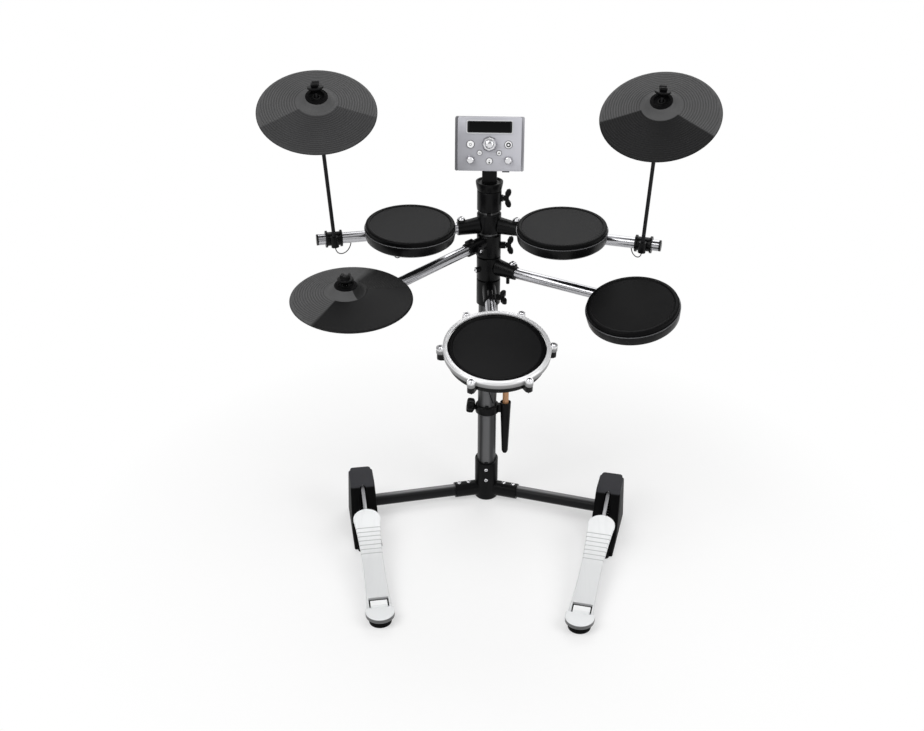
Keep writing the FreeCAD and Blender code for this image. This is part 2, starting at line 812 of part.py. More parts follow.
side_across_share, side_up_share = side_button_place_shares
small_across_share, small_up_share = small_button_place_shares
play_across_share, play_up_share = play_button_place_shares
buttons = {
    "button_left": (-side_across_share, side_up_share, side_button_radius),
    "button_right": (side_across_share, side_up_share, side_button_radius),
    "button_minus": (-small_across_share, small_up_share, small_button_radius),
    "button_plus": (small_across_share, small_up_share, small_button_radius),
    "button_play": (play_across_share, play_up_share, play_button_radius),
}
button_edge_share = 0.12
for name, (across_share, up_share, radius) in buttons.items():
    place = on_front(across_share, up_share)
    edge = radius * button_edge_share
    pocket_floor = -button_depth - button_travel - touch_gap
    front = front.cut(put(bar(radius + running_gap, UP * pocket_floor, UP * overrun), place))
    button = turned([(0, -button_depth), (radius, -button_depth), (radius, button_rise - edge),
                     (radius - edge, button_rise), (0, button_rise)])
    save(name, put(button, module_place.multiply(place)))

save("module_front", put(front, module_place))
save("display_window", put(display, module_place))

rear_profile = [Vector(-half_width, -module_front_edge, -half_height),
                Vector(-half_width, module_rear_depth - module_rear_chamfer, -half_height),
                Vector(-half_width, module_rear_depth, module_rear_chamfer - half_height),
                Vector(-half_width, module_rear_depth, half_height - 2 * module_rear_chamfer),
                Vector(-half_width, module_rear_depth - 2 * module_rear_chamfer, half_height),
                Vector(-half_width, -module_front_edge, half_height)]
rear = plate(rear_profile, module_width, LONG)
rear = rear.common(rounded_slab(module_width, module_height, module_corner, -module_height, module_height))
front_room = rounded_slab(front_width + 2 * seat_gap, module_height + 2 * overrun, module_corner,
                          -module_height, 0)
rear = rear.cut(front_room)
lug_in = neck_tongue_width / 2 + touch_gap
for side in (-1, 1):
    inner = LONG * (side * lug_in)
    outer = LONG * (side * (lug_in + module_lug_width))
    lug = bar(module_lug_radius, hinge_local + inner, hinge_local + outer)
    lug_low = min(inner.x, outer.x)
    lug_high = max(inner.x, outer.x)
    root = block(Vector(lug_low, module_rear_depth - seat_gap, hinge_local.z - module_lug_radius),
                 Vector(lug_high, hinge_local.y, hinge_local.z + module_lug_radius))
    rear = rear.fuse(lug).fuse(root)
pin_reach = LONG * module_width
rear = rear.cut(bar(module_hinge_pin + running_gap, hinge_local - pin_reach, hinge_local + pin_reach))
save("module_rear", put(rear, module_place))

# Tom bracket with its two arms, the rod clamps and the arms' end caps.
tom_places = {"left": arm_place(tom_arm_height, 180 + tom_arm_angle),
              "right": arm_place(tom_arm_height, -tom_arm_angle)}
forward = {"left": 1, "right": -1}
rod_lean_angles = {"left": left_rod_lean_angle, "right": right_rod_lean_angle}
bracket = sleeve(tom_sleeve_low, tom_sleeve_high, sleeve_radius).fuse(key_tab(tom_sleeve_high))
for place in tom_places.values():
    bracket = bracket.fuse(socket(place))
bracket = bracket.cut(column_bore)
for place in tom_places.values():
    bracket = bracket.cut(arm_bore(place))
save("tom_bracket", bracket.removeSplitter())
save("tom_arms", *[arm_tube(place, tom_arm_end) for place in tom_places.values()])


def rod_place(side):
    """The frame of a crash rod: Z up the rod, its origin level with the arm's axis."""
    lean = math.radians(rod_lean_angles[side])
    outward = -forward[side]
    axis = Vector(outward * math.sin(lean), 0, math.cos(lean))
    base = tom_places[side].multVec(Vector(rod_clamp_reach, forward[side] * rod_stand_off, 0))
    return frame(base, Vector(axis.z, 0, -axis.x), axis)


def clamp_ring(reach, bore_gap):
    """A flanged clamp round an arm, with the hole for the arm, in the arm's frame."""
    half = rod_clamp_length / 2
    ring = bar(rod_clamp_radius, LONG * (reach - half), LONG * (reach + half))
    for end in (reach - half, reach + half - rod_clamp_flange_length):
        ring = ring.fuse(bar(rod_clamp_flange, LONG * end, LONG * (end + rod_clamp_flange_length)))
    hole = bar(arm_radius + bore_gap, LONG * (reach - half - overrun), LONG * (reach + half + overrun))
    return ring, hole


def end_cap():
    """A cap with a plug that closes an arm tube, along X from the tube's end."""
    plug = bar(arm_radius - arm_wall - seat_gap, LONG * -arm_plug_depth, ORIGIN)
    return plug.fuse(bar(arm_radius + seat_gap, ORIGIN, LONG * arm_cap_thickness))


clamps = []
for side, place in tom_places.items():
    ring, hole = clamp_ring(rod_clamp_reach, seat_gap)
    boss = put(bar(rod_boss_radius, UP * -rod_boss_half, UP * rod_boss_half), rod_place(side))
    rod_hole = put(bar(rod_radius + running_gap, UP * -crash_rod_height, UP * crash_rod_height),
                   rod_place(side))
    clamp = put(ring, place).fuse(boss).cut(put(hole, place)).cut(rod_hole)
    clamps.append(clamp)
    clamps.append(put(end_cap(), place.multiply(Placement(LONG * tom_arm_end, Rotation()))))
save("arm_clamps_and_caps", *clamps)


def rod(low, high, seat_drop, nut_low):
    """A cymbal rod along Z with its cone seat; the cymbal's hole has its centre at the upper height."""
    seat_high = high - seat_drop
    tip = high + nut_low + nut_cone_height + nut_body_height + rod_tip
    seat_low = seat_high - seat_cone_height
    return turned([(0, low), (rod_radius, low), (rod_radius, seat_low), (seat_cone_radius, seat_low),
                   (seat_cone_radius, seat_low + sleeve_edge), (rod_top_radius, seat_high),
                   (rod_top_radius, tip), (0, tip)])


def wing_nut(low):
    """A cymbal's wing nut along Z, from its low end."""
    body_low = low + nut_cone_height
    body_high = body_low + nut_body_height
    inner = rod_top_radius + running_gap
    body = turned([(inner, low), (inner + sleeve_edge, low), (nut_body_radius, body_low),
                   (nut_body_radius, body_high), (inner, body_high)])
    wing = wings(nut_wing_span, nut_wing_height, nut_wing_thickness, body_high - seat_gap)
    hole = bar(rod_top_radius + running_gap, UP * low, UP * (body_high + rod_tip + touch_gap))
    return body.fuse(wing).cut(hole)


cymbal_hole_height = cymbal_rise + bell_rise - bell_thickness / 2


def cymbal():
    """A cymbal pad about its hole: cone bow, bell and washer, cut round off-centre for a longer front."""
    half_edge = cymbal_edge_thickness / 2
    reach = cymbal_radius + bell_offset + overrun
    slope = (cymbal_rise - half_edge) / (cymbal_radius - bell_radius)
    rim_top = cymbal_rise - slope * (reach - bell_radius)
    top = cymbal_rise + bell_rise
    shoulder = cymbal_rise + bell_shoulder_rise
    drop = bell_thickness
    outline = [(cymbal_hole_radius, top - drop), (washer_outer_radius, top - drop),
               (bell_shoulder_radius, shoulder - drop), (bell_radius, cymbal_rise - drop),
               (reach, rim_top - drop),
               (reach, rim_top), (bell_radius, cymbal_rise), (bell_shoulder_radius, shoulder),
               (washer_outer_radius, top), (washer_outer_radius, top + washer_height),
               (washer_inner_radius, top + washer_height), (washer_inner_radius, top),
               (cymbal_hole_radius, top)]
    body = turned([(radius, height - cymbal_hole_height) for radius, height in outline])
    centre = SIDE * -bell_offset
    return body.common(bar(cymbal_radius, centre - UP * reach, centre + UP * reach))


def cymbal_place(centre, tilt, facing, front_way):
    """The frame of a cymbal whose top faces a direction seen from above, its front turned to another."""
    t = math.radians(tilt)
    flat = polar(facing)
    normal = Vector(flat.x * math.sin(t), flat.y * math.sin(t), math.cos(t))
    return frame(centre, UP.cross(flat), normal).multiply(Placement(ORIGIN, Rotation(UP, front_way - facing)))


crash_tilts = {"left": (left_crash_tilt_angle, left_crash_facing_angle, left_crash_front_angle),
               "right": (right_crash_tilt_angle, right_crash_facing_angle, right_crash_front_angle)}
for side in tom_places:
    place = rod_place(side)
    save("crash_" + side + "_rod", put(rod(-rod_below, crash_rod_height, crash_seat_drop, crash_nut_low),
                                       place))
    nut_place = place.multiply(Placement(ORIGIN, Rotation(UP, crash_nut_angle)))
    save("crash_" + side + "_nut", put(wing_nut(crash_rod_height + crash_nut_low), nut_place))
    centre = place.multVec(UP * crash_rod_height)
    save("crash_" + side + "_cymbal", put(cymbal(), cymbal_place(centre, *crash_tilts[side])))


def pad_place(arm, reach, tilt, front_sign):
    """The frame of a pad on its arm: origin on the arm's axis, tilted about it with the front edge down."""
    return arm.multiply(Placement(LONG * reach, Rotation(LONG, -front_sign * tilt)))


def saddle(top):
    """The clamp under a pad that grips the arm, with its web up into the pad."""
    half = LONG * (saddle_length / 2)
    ring = bar(saddle_radius, half * -1, half)
    web = block(Vector(-saddle_length / 2, -saddle_radius, 0), Vector(saddle_length / 2, saddle_radius, top))
    return ring.fuse(web)


def saddle_hole(length):
    """The hole for the arm through a pad's saddle."""
    return bar(arm_radius + running_gap, LONG * -length, LONG * length)


def pad_shell(front_sign):
    """A pad's shell on its saddle."""
    inner = pad_radius - pad_rim_wall
    shell = turned([(0, 0), (pad_bottom_radius, 0), (pad_chamfer_radius, pad_chamfer_height),
                    (pad_radius, pad_shell_height), (inner, pad_shell_height), (inner, pad_ledge_height),
                    (0, pad_ledge_height)])
    shell.translate(Vector(0, front_sign * pad_offset, pad_seat))
    return shell.fuse(saddle(pad_seat + pad_chamfer_height)).cut(saddle_hole(saddle_length))


def pad_rubber(front_sign):
    """A pad's rubber top: rounded edge, thin lip and slightly dished face."""
    radius = pad_radius - pad_rim_wall - seat_gap
    low = pad_ledge_height
    high = low + rubber_height
    lip = radius - rubber_edge
    dish = lip - rubber_lip_width
    top = turned([(0, low), (radius, low), (radius, high - rubber_edge), (lip, high), (dish, high),
                  (dish - rubber_dish_depth, high - rubber_dish_depth), (0, high - rubber_dish_depth)])
    top.translate(Vector(0, front_sign * pad_offset, pad_seat))
    return top


tom_reach = {"left": left_tom_reach, "right": left_tom_reach - right_tom_inset}
for side, place in tom_places.items():
    at = pad_place(place, tom_reach[side], tom_tilt_angle, forward[side])
    save("tom_" + side + "_shell", put(pad_shell(forward[side]), at))
    save("tom_" + side + "_rubber", put(pad_rubber(forward[side]), at))

# Hi-hat sleeve, arm, rod, cymbal and nut.
hihat_place = arm_place(hihat_arm_height, hihat_arm_angle, hihat_arm_droop_angle)
hihat_bolt_place = bolt_place(hihat_bolt_height, 0.0)
hihat_knob_low = socket_radius - seat_gap
hihat_knob = turned([(0, hihat_knob_low), (bolt_collar_radius, hihat_knob_low),
                     (bolt_collar_radius, hihat_knob_low + bolt_collar_length),
                     (0, hihat_knob_low + bolt_collar_length)])
lobe_floor = hihat_knob_low + bolt_collar_length - seat_gap
lobe_top = lobe_floor + hihat_knob_length
knob_lobe_share = 0.16
lobe_low = facet_ring(hihat_knob_radius, hihat_knob_lobes, lobe_floor, knob_lobe_share)
lobe_high = facet_ring(hihat_knob_radius, hihat_knob_lobes, lobe_top, knob_lobe_share)
hihat_knob = hihat_knob.fuse(Part.makeLoft([lobe_low, lobe_high], True, True))
knob_frame = hihat_place.multiply(Placement(LONG * (socket_end - hihat_knob_back), Rotation(LONG, -90)))
hihat_sleeve = sleeve(hihat_sleeve_low, hihat_sleeve_high, sleeve_radius).fuse(socket(hihat_place))
hihat_sleeve = hihat_sleeve.fuse(bolt_boss(hihat_bolt_place, hihat_boss_end))
hihat_sleeve = hihat_sleeve.fuse(put(hihat_knob, knob_frame))
hihat_sleeve = hihat_sleeve.cut(column_bore).cut(arm_bore(hihat_place))
hihat_sleeve = hihat_sleeve.cut(bolt_hole(hihat_bolt_place, hihat_boss_end))
save("hihat_sleeve", hihat_sleeve.removeSplitter())
save("hihat_arm", arm_tube(hihat_place, hihat_arm_end))
save("hihat_wing_bolt", put(wing_bolt(bolt_root, hihat_boss_end + touch_gap), hihat_bolt_place))

hihat_base = hihat_place.multVec(LONG * hihat_rod_reach)
hihat_upright = frame(hihat_base, LONG, UP)
ring, hole = clamp_ring(hihat_rod_reach, seat_gap)
hihat_stem = turned([(0, 0), (rod_boss_radius, 0), (rod_boss_radius, rod_clamp_flange),
                     (0, rod_clamp_flange)])
hihat_rod = put(rod(0, hihat_rod_rise, hihat_seat_drop, hihat_nut_low), hihat_upright)
hihat_rod = hihat_rod.fuse(put(hihat_stem, hihat_upright))
hihat_rod = hihat_rod.fuse(put(ring, hihat_place)).cut(put(hole, hihat_place))
save("hihat_rod", hihat_rod.removeSplitter())
save("hihat_nut", put(wing_nut(hihat_rod_rise + hihat_nut_low), hihat_upright))
hihat_centre = hihat_upright.multVec(UP * hihat_rod_rise)
hihat_at = cymbal_place(hihat_centre, hihat_tilt_angle, hihat_facing_angle, hihat_front_angle)
save("hihat_cymbal", put(cymbal(), hihat_at))

# Right pad: sleeve with its socket and clamp bolt boss, arm, shell and rubber.
pad_arm_place = arm_place(pad_arm_height, pad_arm_angle)
pad_boss_place = bolt_place(pad_boss_height, pad_boss_angle)
pad_boss = put(bar(bolt_collar_radius, ORIGIN, UP * (module_boss_end + bolt_collar_length)), pad_boss_place)
pad_sleeve = sleeve(pad_sleeve_low, pad_sleeve_high, sleeve_radius).fuse(socket(pad_arm_place)).fuse(pad_boss)
pad_sleeve = pad_sleeve.cut(column_bore).cut(arm_bore(pad_arm_place))
save("pad_sleeve", pad_sleeve.removeSplitter())
save("pad_arm", arm_tube(pad_arm_place, pad_arm_end))
low_pad_place = pad_place(pad_arm_place, low_pad_reach, low_pad_tilt_angle, -1)
save("pad_shell", put(pad_shell(-1), low_pad_place))
save("pad_rubber", put(pad_rubber(-1), low_pad_place))

# Snare: sleeve with its front socket and wing bolt, arm, shell, hoop and head.
snare_place = arm_place(snare_arm_height, snare_arm_angle, snare_arm_droop_angle)
snare_bolt_place = snare_place.multiply(Placement(LONG * snare_bolt_reach, Rotation(LONG, -90)))
snare_bolt_floor = arm_radius + seat_gap + touch_gap
snare_boss_end = socket_radius + bolt_collar_length
snare_sleeve = sleeve(snare_sleeve_low, snare_sleeve_high, sleeve_radius).fuse(socket(snare_place))
snare_sleeve = snare_sleeve.fuse(put(bar(bolt_boss_radius, ORIGIN, UP * snare_boss_end), snare_bolt_place))
snare_ceiling = bar(sleeve_radius + touch_gap, UP * snare_sleeve_high, UP * pad_sleeve_high)
snare_sleeve = snare_sleeve.cut(column_bore).cut(arm_bore(snare_place)).cut(snare_ceiling)
snare_sleeve = snare_sleeve.cut(put(bar(bolt_radius + running_gap, ORIGIN, UP * (snare_boss_end + overrun)),
                                    snare_bolt_place))
save("snare_sleeve", snare_sleeve.removeSplitter())
save("snare_arm", arm_tube(snare_place, snare_arm_end))
save("snare_wing_bolt", put(wing_bolt(snare_bolt_floor, snare_boss_end + touch_gap), snare_bolt_place))

snare_at = snare_place.multiply(Placement(LONG * snare_reach, Rotation()))
snare_up = UP * pad_seat
lug_angles = [360.0 * i / lug_count + 90 for i in range(lug_count)]
head_radius = hoop_inner_radius - seat_gap
head_high = snare_height + head_thickness
shell = turned([(0, 0), (snare_bottom_radius, 0), (snare_radius, snare_chamfer_height),
                (snare_radius, snare_height),
                (0, snare_height)])
hoop_under = hoop_high - hoop_top_thickness
hoop = turned([(hoop_outer_radius - hoop_wall, hoop_low), (hoop_outer_radius, hoop_low),
               (hoop_outer_radius, hoop_high - sleeve_edge), (hoop_outer_radius - sleeve_edge, hoop_high),
               (hoop_inner_radius, hoop_high), (hoop_inner_radius, hoop_under),
               (hoop_outer_radius - hoop_wall, hoop_under)])
lug_block_high = hoop_low - touch_gap
lug_block_low = lug_block_high - lug_block_height
screw_foot = (lug_block_low + lug_block_high) / 2
head_top = hoop_under + tension_head_height
for angle in lug_angles:
    spot = polar(angle) * lug_circle_radius
    turn = Placement(ORIGIN, Rotation(UP, angle))
    ear = bar(lug_ear_radius, spot + UP * hoop_low, spot + UP * hoop_under)
    ear_web = block(Vector(hoop_outer_radius - hoop_wall / 2, -lug_ear_radius, hoop_low),
                    Vector(lug_circle_radius, lug_ear_radius, hoop_under))
    screw = bar(tension_screw_radius, spot + UP * screw_foot, spot + UP * hoop_low)
    screw_head = bar(tension_head_radius, spot + UP * hoop_under, spot + UP * head_top)
    hoop = hoop.fuse(ear).fuse(put(ear_web, turn)).fuse(screw).fuse(screw_head)
    lug = block(Vector(snare_radius - sleeve_edge, -lug_block_width / 2, lug_block_low),
                Vector(lug_circle_radius + lug_block_width / 2, lug_block_width / 2, lug_block_high))
    screw_hole = bar(tension_screw_radius + seat_gap, spot + UP * (screw_foot - touch_gap),
                     spot + UP * hoop_low)
    shell = shell.fuse(put(lug, turn)).cut(screw_hole)
head = turned([(0, snare_height), (head_radius, snare_height), (head_radius, head_high), (0, head_high)])
for piece in (shell, hoop, head):
    piece.translate(snare_up)
shell = shell.fuse(saddle(pad_seat + snare_chamfer_height)).cut(saddle_hole(saddle_length))
save("snare_shell", put(shell.removeSplitter(), snare_at))
save("snare_hoop", put(hoop.removeSplitter(), snare_at))
save("snare_head", put(head, snare_at))

# Stick holder: ring, two cups on webs and a lobed knob; one stick in each cup.
holder = sleeve(stick_ring_low, stick_ring_high, stick_ring_radius).fuse(key_tab(stick_ring_high))
cup_shoulder = cup_tip + cup_radius - cup_foot_radius + cup_wall
cup_outer = [(0, cup_tip), (cup_foot_radius, cup_tip), (cup_radius, cup_shoulder), (cup_radius, cup_top),
             (0, cup_top)]
cup_floor = cup_shoulder
cup_inner = cup_radius - cup_wall
cups = []
hollows = []
sticks = []
for angle in cup_angles:
    spot = polar(angle) * cup_distance
    cup = turned(cup_outer)
    cup.translate(spot)
    hollow = bar(cup_inner, spot + UP * cup_floor, spot + UP * (cup_top + overrun))
    web = block(Vector(0, -cup_web_width / 2, stick_ring_low),
                Vector(cup_distance, cup_web_width / 2, stick_ring_high))
    holder = holder.fuse(put(web, Placement(ORIGIN, Rotation(UP, angle)))).fuse(cup)
    hollows.append(hollow)
    low = cup_floor + touch_gap
    high = low + stick_length
    neck_at = high - stick_tip_length
    stick = turned([(0, low), (stick_radius, low), (stick_radius, neck_at - stick_taper_length),
                    (stick_neck_radius, neck_at), (stick_tip_radius, (neck_at + high) / 2),
                    (stick_neck_radius, high),
                    (0, high)])
    stick.translate(spot)
    sticks.append(stick)
for hollow in hollows:
    holder = holder.cut(hollow)
holder_knob_place = bolt_place((stick_ring_low + stick_ring_high) / 2, holder_knob_angle)
holder_boss_end = stick_ring_radius + bolt_collar_length
holder = holder.fuse(put(bar(bolt_collar_radius, ORIGIN, UP * holder_boss_end), holder_knob_place))
knob_low = facet_ring(holder_knob_radius, holder_knob_lobes, holder_boss_end - seat_gap, knob_lobe_share)
holder_knob_end = holder_boss_end + holder_knob_length
knob_high = facet_ring(holder_knob_radius, holder_knob_lobes, holder_knob_end, knob_lobe_share)
holder = holder.fuse(put(Part.makeLoft([knob_low, knob_high], True, True),
                         holder_knob_place)).cut(column_bore)
save("stick_holder", holder.removeSplitter())
save("drum_sticks", *sticks)


def outline_face(edges):
    """A face from edges that close on each other."""
    return Part.Face(Part.Wire(edges))


def heel_outline(radius, end, height):
    """A flat outline with a round back, straight sides and a straight front end."""
    back = Part.Arc(Vector(-radius, heel_radius, height), Vector(0, heel_radius - radius, height),
                    Vector(radius, heel_radius, height))
    right = Part.LineSegment(Vector(radius, heel_radius, height), Vector(radius, end, height))
    front_line = Part.LineSegment(Vector(radius, end, height), Vector(-radius, end, height))
    left = Part.LineSegment(Vector(-radius, end, height), Vector(-radius, heel_radius, height))
    return outline_face([back.toShape(), right.toShape(), front_line.toShape(), left.toShape()])


hinge_point = Vector(0, hinge_along, hinge_height)
half_pin = LONG * (board_heel_width / 2)
half_knuckle = LONG * (hinge_knuckle_width / 2)
heel_end = hinge_along - hinge_barrel_radius - touch_gap
heel = heel_outline(heel_radius, heel_end, heel_low).extrude(UP * (heel_high - heel_low))
heel_upper = [edge for edge in heel.Edges if edge.CenterOfMass.z > heel_high - heel_edge]
heel_rim = [edge for edge in heel_upper if abs(edge.CenterOfMass.y - heel_end) > heel_edge]
heel = heel.makeFillet(heel_edge, heel_rim)
heel = heel.fuse(bar(hinge_barrel_radius, hinge_point - half_knuckle, hinge_point + half_knuckle))
tongue_end = hinge_along + hinge_tongue_length
heel = heel.fuse(block(Vector(-hinge_knuckle_width / 2, heel_end - heel_edge, heel_low),
                       Vector(hinge_knuckle_width / 2, tongue_end, hinge_height + hinge_pin_radius)))
heel = heel.cut(bar(hinge_pin_radius + seat_gap, hinge_point - half_pin, hinge_point + half_pin))
foot = heel_outline(heel_foot_radius, heel_foot_length, 0).extrude(UP * base_plate_low)
pin = bar(hinge_pin_radius, hinge_point - half_pin, hinge_point + half_pin)

# Footboard in its own tilted frame: Y along the board from the hinge, Z out of its top.
board_place = Placement(hinge_point, Rotation(LONG, board_angle))
board_low = -board_below_pin
heel_half = board_heel_width / 2
waist_half = board_waist_width / 2
toe_half = board_toe_width / 2
board_high = board_low + board_thickness


def board_wire(inset, height):
    """The footboard's outline: straight heel, waisted sides and a round toe, drawn in by an inset."""
    heel_side = heel_half - inset
    waist_side = waist_half - inset
    toe_side = toe_half - inset
    toe_tip = board_length - inset
    right = Part.Arc(Vector(heel_side, 0, height), Vector(waist_side, board_waist_along, height),
                     Vector(toe_side, board_toe_start, height))
    toe = Part.Arc(Vector(toe_side, board_toe_start, height), Vector(0, toe_tip, height),
                   Vector(-toe_side, board_toe_start, height))
    left = Part.Arc(Vector(-toe_side, board_toe_start, height),
                    Vector(-waist_side, board_waist_along, height),
                    Vector(-heel_side, 0, height))
    line = Part.LineSegment(Vector(-heel_side, 0, height), Vector(heel_side, 0, height))
    return Part.Wire([right.toShape(), toe.toShape(), left.toShape(), line.toShape()])


board_shoulder = board_high - board_edge
board = Part.Face(board_wire(0, board_low)).extrude(UP * (board_shoulder - board_low))
board = board.fuse(Part.makeLoft([board_wire(0, board_shoulder), board_wire(board_edge, board_high)], True,
                                 True))
for i in range(ridge_count):
    along = ridge_first + i * ridge_pitch
    width_share = 0.92
    span_share = (along - board_waist_along) / (board_toe_start - board_waist_along)
    half = (waist_half + (toe_half - waist_half) * span_share ** 2) * width_share - board_edge
    ridge = plate([Vector(-half, along - ridge_width / 2, board_high - seat_gap),
                   Vector(-half, along + ridge_width / 2, board_high - seat_gap),
                   Vector(-half, along, board_high + ridge_height)], 2 * half, LONG)
    board = board.fuse(ridge)
toe_pin = Vector(0, toe_pin_along, -toe_pin_drop)
ear_inner = toe_ear_gap / 2
ear_outer = ear_inner + toe_ear_width
for side in (-1, 1):
    ear = bar(toe_ear_radius, toe_pin + LONG * (side * ear_inner), toe_pin + LONG * (side * ear_outer))
    root_low = min(side * ear_inner, side * ear_outer)
    root_high = max(side * ear_inner, side * ear_outer)
    ear_root = block(Vector(root_low, toe_pin_along - toe_ear_radius, -toe_pin_drop),
                     Vector(root_high, toe_pin_along + toe_ear_radius, board_low + seat_gap))
    barrel_in = LONG * (side * hinge_notch_width / 2)
    barrel = bar(hinge_barrel_radius, barrel_in, LONG * (side * heel_half))
    board = board.fuse(ear).fuse(ear_root).fuse(barrel)
board = board.fuse(bar(toe_pin_radius, toe_pin - LONG * ear_outer, toe_pin + LONG * ear_outer))
board = board.cut(block(Vector(-hinge_notch_width / 2, -overrun, board_low - overrun),
                        Vector(hinge_notch_width / 2, hinge_notch_length, board_high + overrun)))
board = board.cut(bar(hinge_pin_radius + running_gap, half_pin * -2, half_pin * 2))
board = put(board.removeSplitter(), board_place)

# Pull link from the toe pin up into the tower, pressing on the return spring.
toe_point = board_place.multVec(toe_pin)
link_top = toe_point + SIDE * link_run + UP * link_rise
link_way = Vector(link_top - toe_point).normalize()
link_side = LONG * (link_width / 2)
link = bar(link_eye_radius, toe_point - link_side, toe_point + link_side)
link_up = link_way.cross(LONG) * -1
link_frame = frame(toe_point, link_way, link_up)
link_length = (link_top - toe_point).Length
link_bar = block(Vector(0, -link_width / 2, -link_thickness / 2),
                 Vector(link_length, link_width / 2, link_thickness / 2))
link = link.fuse(put(link_bar, link_frame))
link_cap = bar(link_cap_radius, link_top - UP * link_cap_below, link_top + UP * link_cap_above)
link = link.fuse(link_cap)
eye = bar(toe_pin_radius + link_eye_slack, toe_point - LONG * link_width, toe_point + LONG * link_width)
link = link.cut(eye)
spring_foot = Vector(0, link_top.y, slot_low)
spring_head = link_top - UP * (link_cap_below + touch_gap)
spring = pipe(spring_radius, spring_wire, spring_foot, spring_head)

# Tower: side profile crossed with a round-cornered plan, then the slot and the leg's hole.
tower_half = tower_width / 2
tower_front = link_top.y - tower_front_run
tower_step = link_top.y - tower_step_run
tower_face = link_top.y - tower_face_run
tower_brow = link_top.y - tower_brow_run
slot_back = link_top.y + slot_back_run
tower_back = slot_back + tower_tail
slot_high = link_top.z + slot_roof_rise
tower_height = slot_high + tower_roof
profile = [Vector(-tower_half, tower_front, 0), Vector(-tower_half, tower_front, tower_front_height),
           Vector(-tower_half, tower_step, tower_front_height),
           Vector(-tower_half, tower_face, tower_face_low),
           Vector(-tower_half, tower_brow, tower_height - tower_brow_drop),
           Vector(-tower_half, tower_brow + tower_corner, tower_height),
           Vector(-tower_half, tower_back - sleeve_edge, tower_height),
           Vector(-tower_half, tower_back, tower_height - sleeve_edge), Vector(-tower_half, tower_back, 0)]
tower = plate(profile, tower_width, LONG)
plan = block(Vector(-tower_half, tower_front, 0), Vector(tower_half, tower_back, tower_height))
plan = plan.makeFillet(tower_corner, straight_edges(plan, UP))
tower = tower.common(plan)
slot_half = slot_width / 2
slot_spring = slot_high - slot_half
slot = block(Vector(-slot_half, tower_step, slot_low), Vector(slot_half, slot_back, slot_spring))
slot = slot.fuse(bar(slot_half, Vector(0, tower_step, slot_spring), Vector(0, slot_back, slot_spring)))
tower = tower.cut(slot)

base = heel_outline(heel_foot_radius, hinge_along, base_plate_low).extrude(UP * base_plate_thickness)
strip = block(Vector(-base_plate_width / 2, heel_radius, base_plate_low),
              Vector(base_plate_width / 2, tower_front + base_plate_lap, heel_low))
base = base.fuse(strip).removeSplitter()


def pedal_place(side):
    """A pedal's frame: origin on the floor at the back of the heel, Y along the pedal to the leg's end."""
    turn = Rotation(UP, -side * pedal_yaw_angle)
    leg_tip = polar(-leg_angle) * leg_end
    tower_spot = turn.multVec(Vector(-side * leg_end_inset, tower_back - leg_end_back, 0))
    return Placement(Vector(side * leg_tip.x, leg_tip.y, 0) - tower_spot, turn)


towers = []
bases = []
heels = []
feet = []
springs = []
for side, word in ((-1, "left"), (1, "right")):
    place = pedal_place(side)
    towers.append(put(tower, place).cut(leg_bores[0 if side < 0 else 1]))
    bases.append(put(base, place))
    bases.append(put(pin, place))
    heels.append(put(heel, place))
    feet.append(put(foot, place))
    springs.append(put(spring, place))
    save("footboard_" + word, put(board, place))
    save("pull_link_" + word, put(link, place))
save("pedal_towers", *towers)
save("base_plates", *bases)
save("heel_plates", *heels)
save("heel_feet", *feet)
save("pedal_springs", *springs)

# Cords: a slack loop from each crash rod into its arm, one under the left tom, one from the snare's arm.
crash_cords = []
cable_gap = touch_gap + cord_radius / 2
cables = {"left": (left_cable_span, left_cable_sag, left_cable_shares),
          "right": (right_cable_span, right_cable_sag, right_cable_shares)}
for side, (span, drop, shares) in cables.items():
    start = rod_place(side).multVec(UP * -(rod_below + touch_gap))
    finish = tom_places[side].multVec(Vector(rod_clamp_reach - span, 0, -arm_radius - cable_gap))
    reach = finish - start
    sag = UP * drop
    route = [start + Vector(reach.x * u, reach.y * v, reach.z * w) - sag * d for u, v, w, d in shares]
    crash_cords.append(cord("crash cable " + side, route))
save("crash_cables", *crash_cords)

tom_at = pad_place(tom_places["left"], left_tom_reach, tom_tilt_angle, forward["left"])
tom_route = []
for u, v, d in tom_loop_shares:
    across = tom_loop_start + tom_loop_width * u
    front_way = saddle_radius + cord_radius + touch_gap + tom_loop_forward * v
    tom_route.append(tom_at.multVec(Vector(across, front_way, pad_seat - cable_gap - tom_loop_sag * d)))
save("tom_cable", cord("tom cable", tom_route))

snare_from = snare_place.multVec(Vector(snare_cord_reach, 0, -arm_radius - cable_gap))
column_face = polar(snare_cord_angle) * (column_radius + cord_radius + touch_gap)
snare_to = Vector(column_face.x, column_face.y, stick_ring_high + snare_cord_above)
span = snare_to - snare_from
snare_route = []
for u, v, w, sway in snare_cord_shares:
    straight = Vector(span.x * u, span.y * v, span.z * w)
    snare_route.append(snare_from + straight - LONG * (snare_cord_sway * sway))
save("snare_cable", cord("snare cable", snare_route))
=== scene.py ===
"""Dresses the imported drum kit: finishes, fittings, pads, cymbals, module, pedals, cords and stage."""
import json
import math

import bmesh
import bpy
from bpy.props import FloatProperty, FloatVectorProperty, PointerProperty
from mathutils import Matrix, Vector


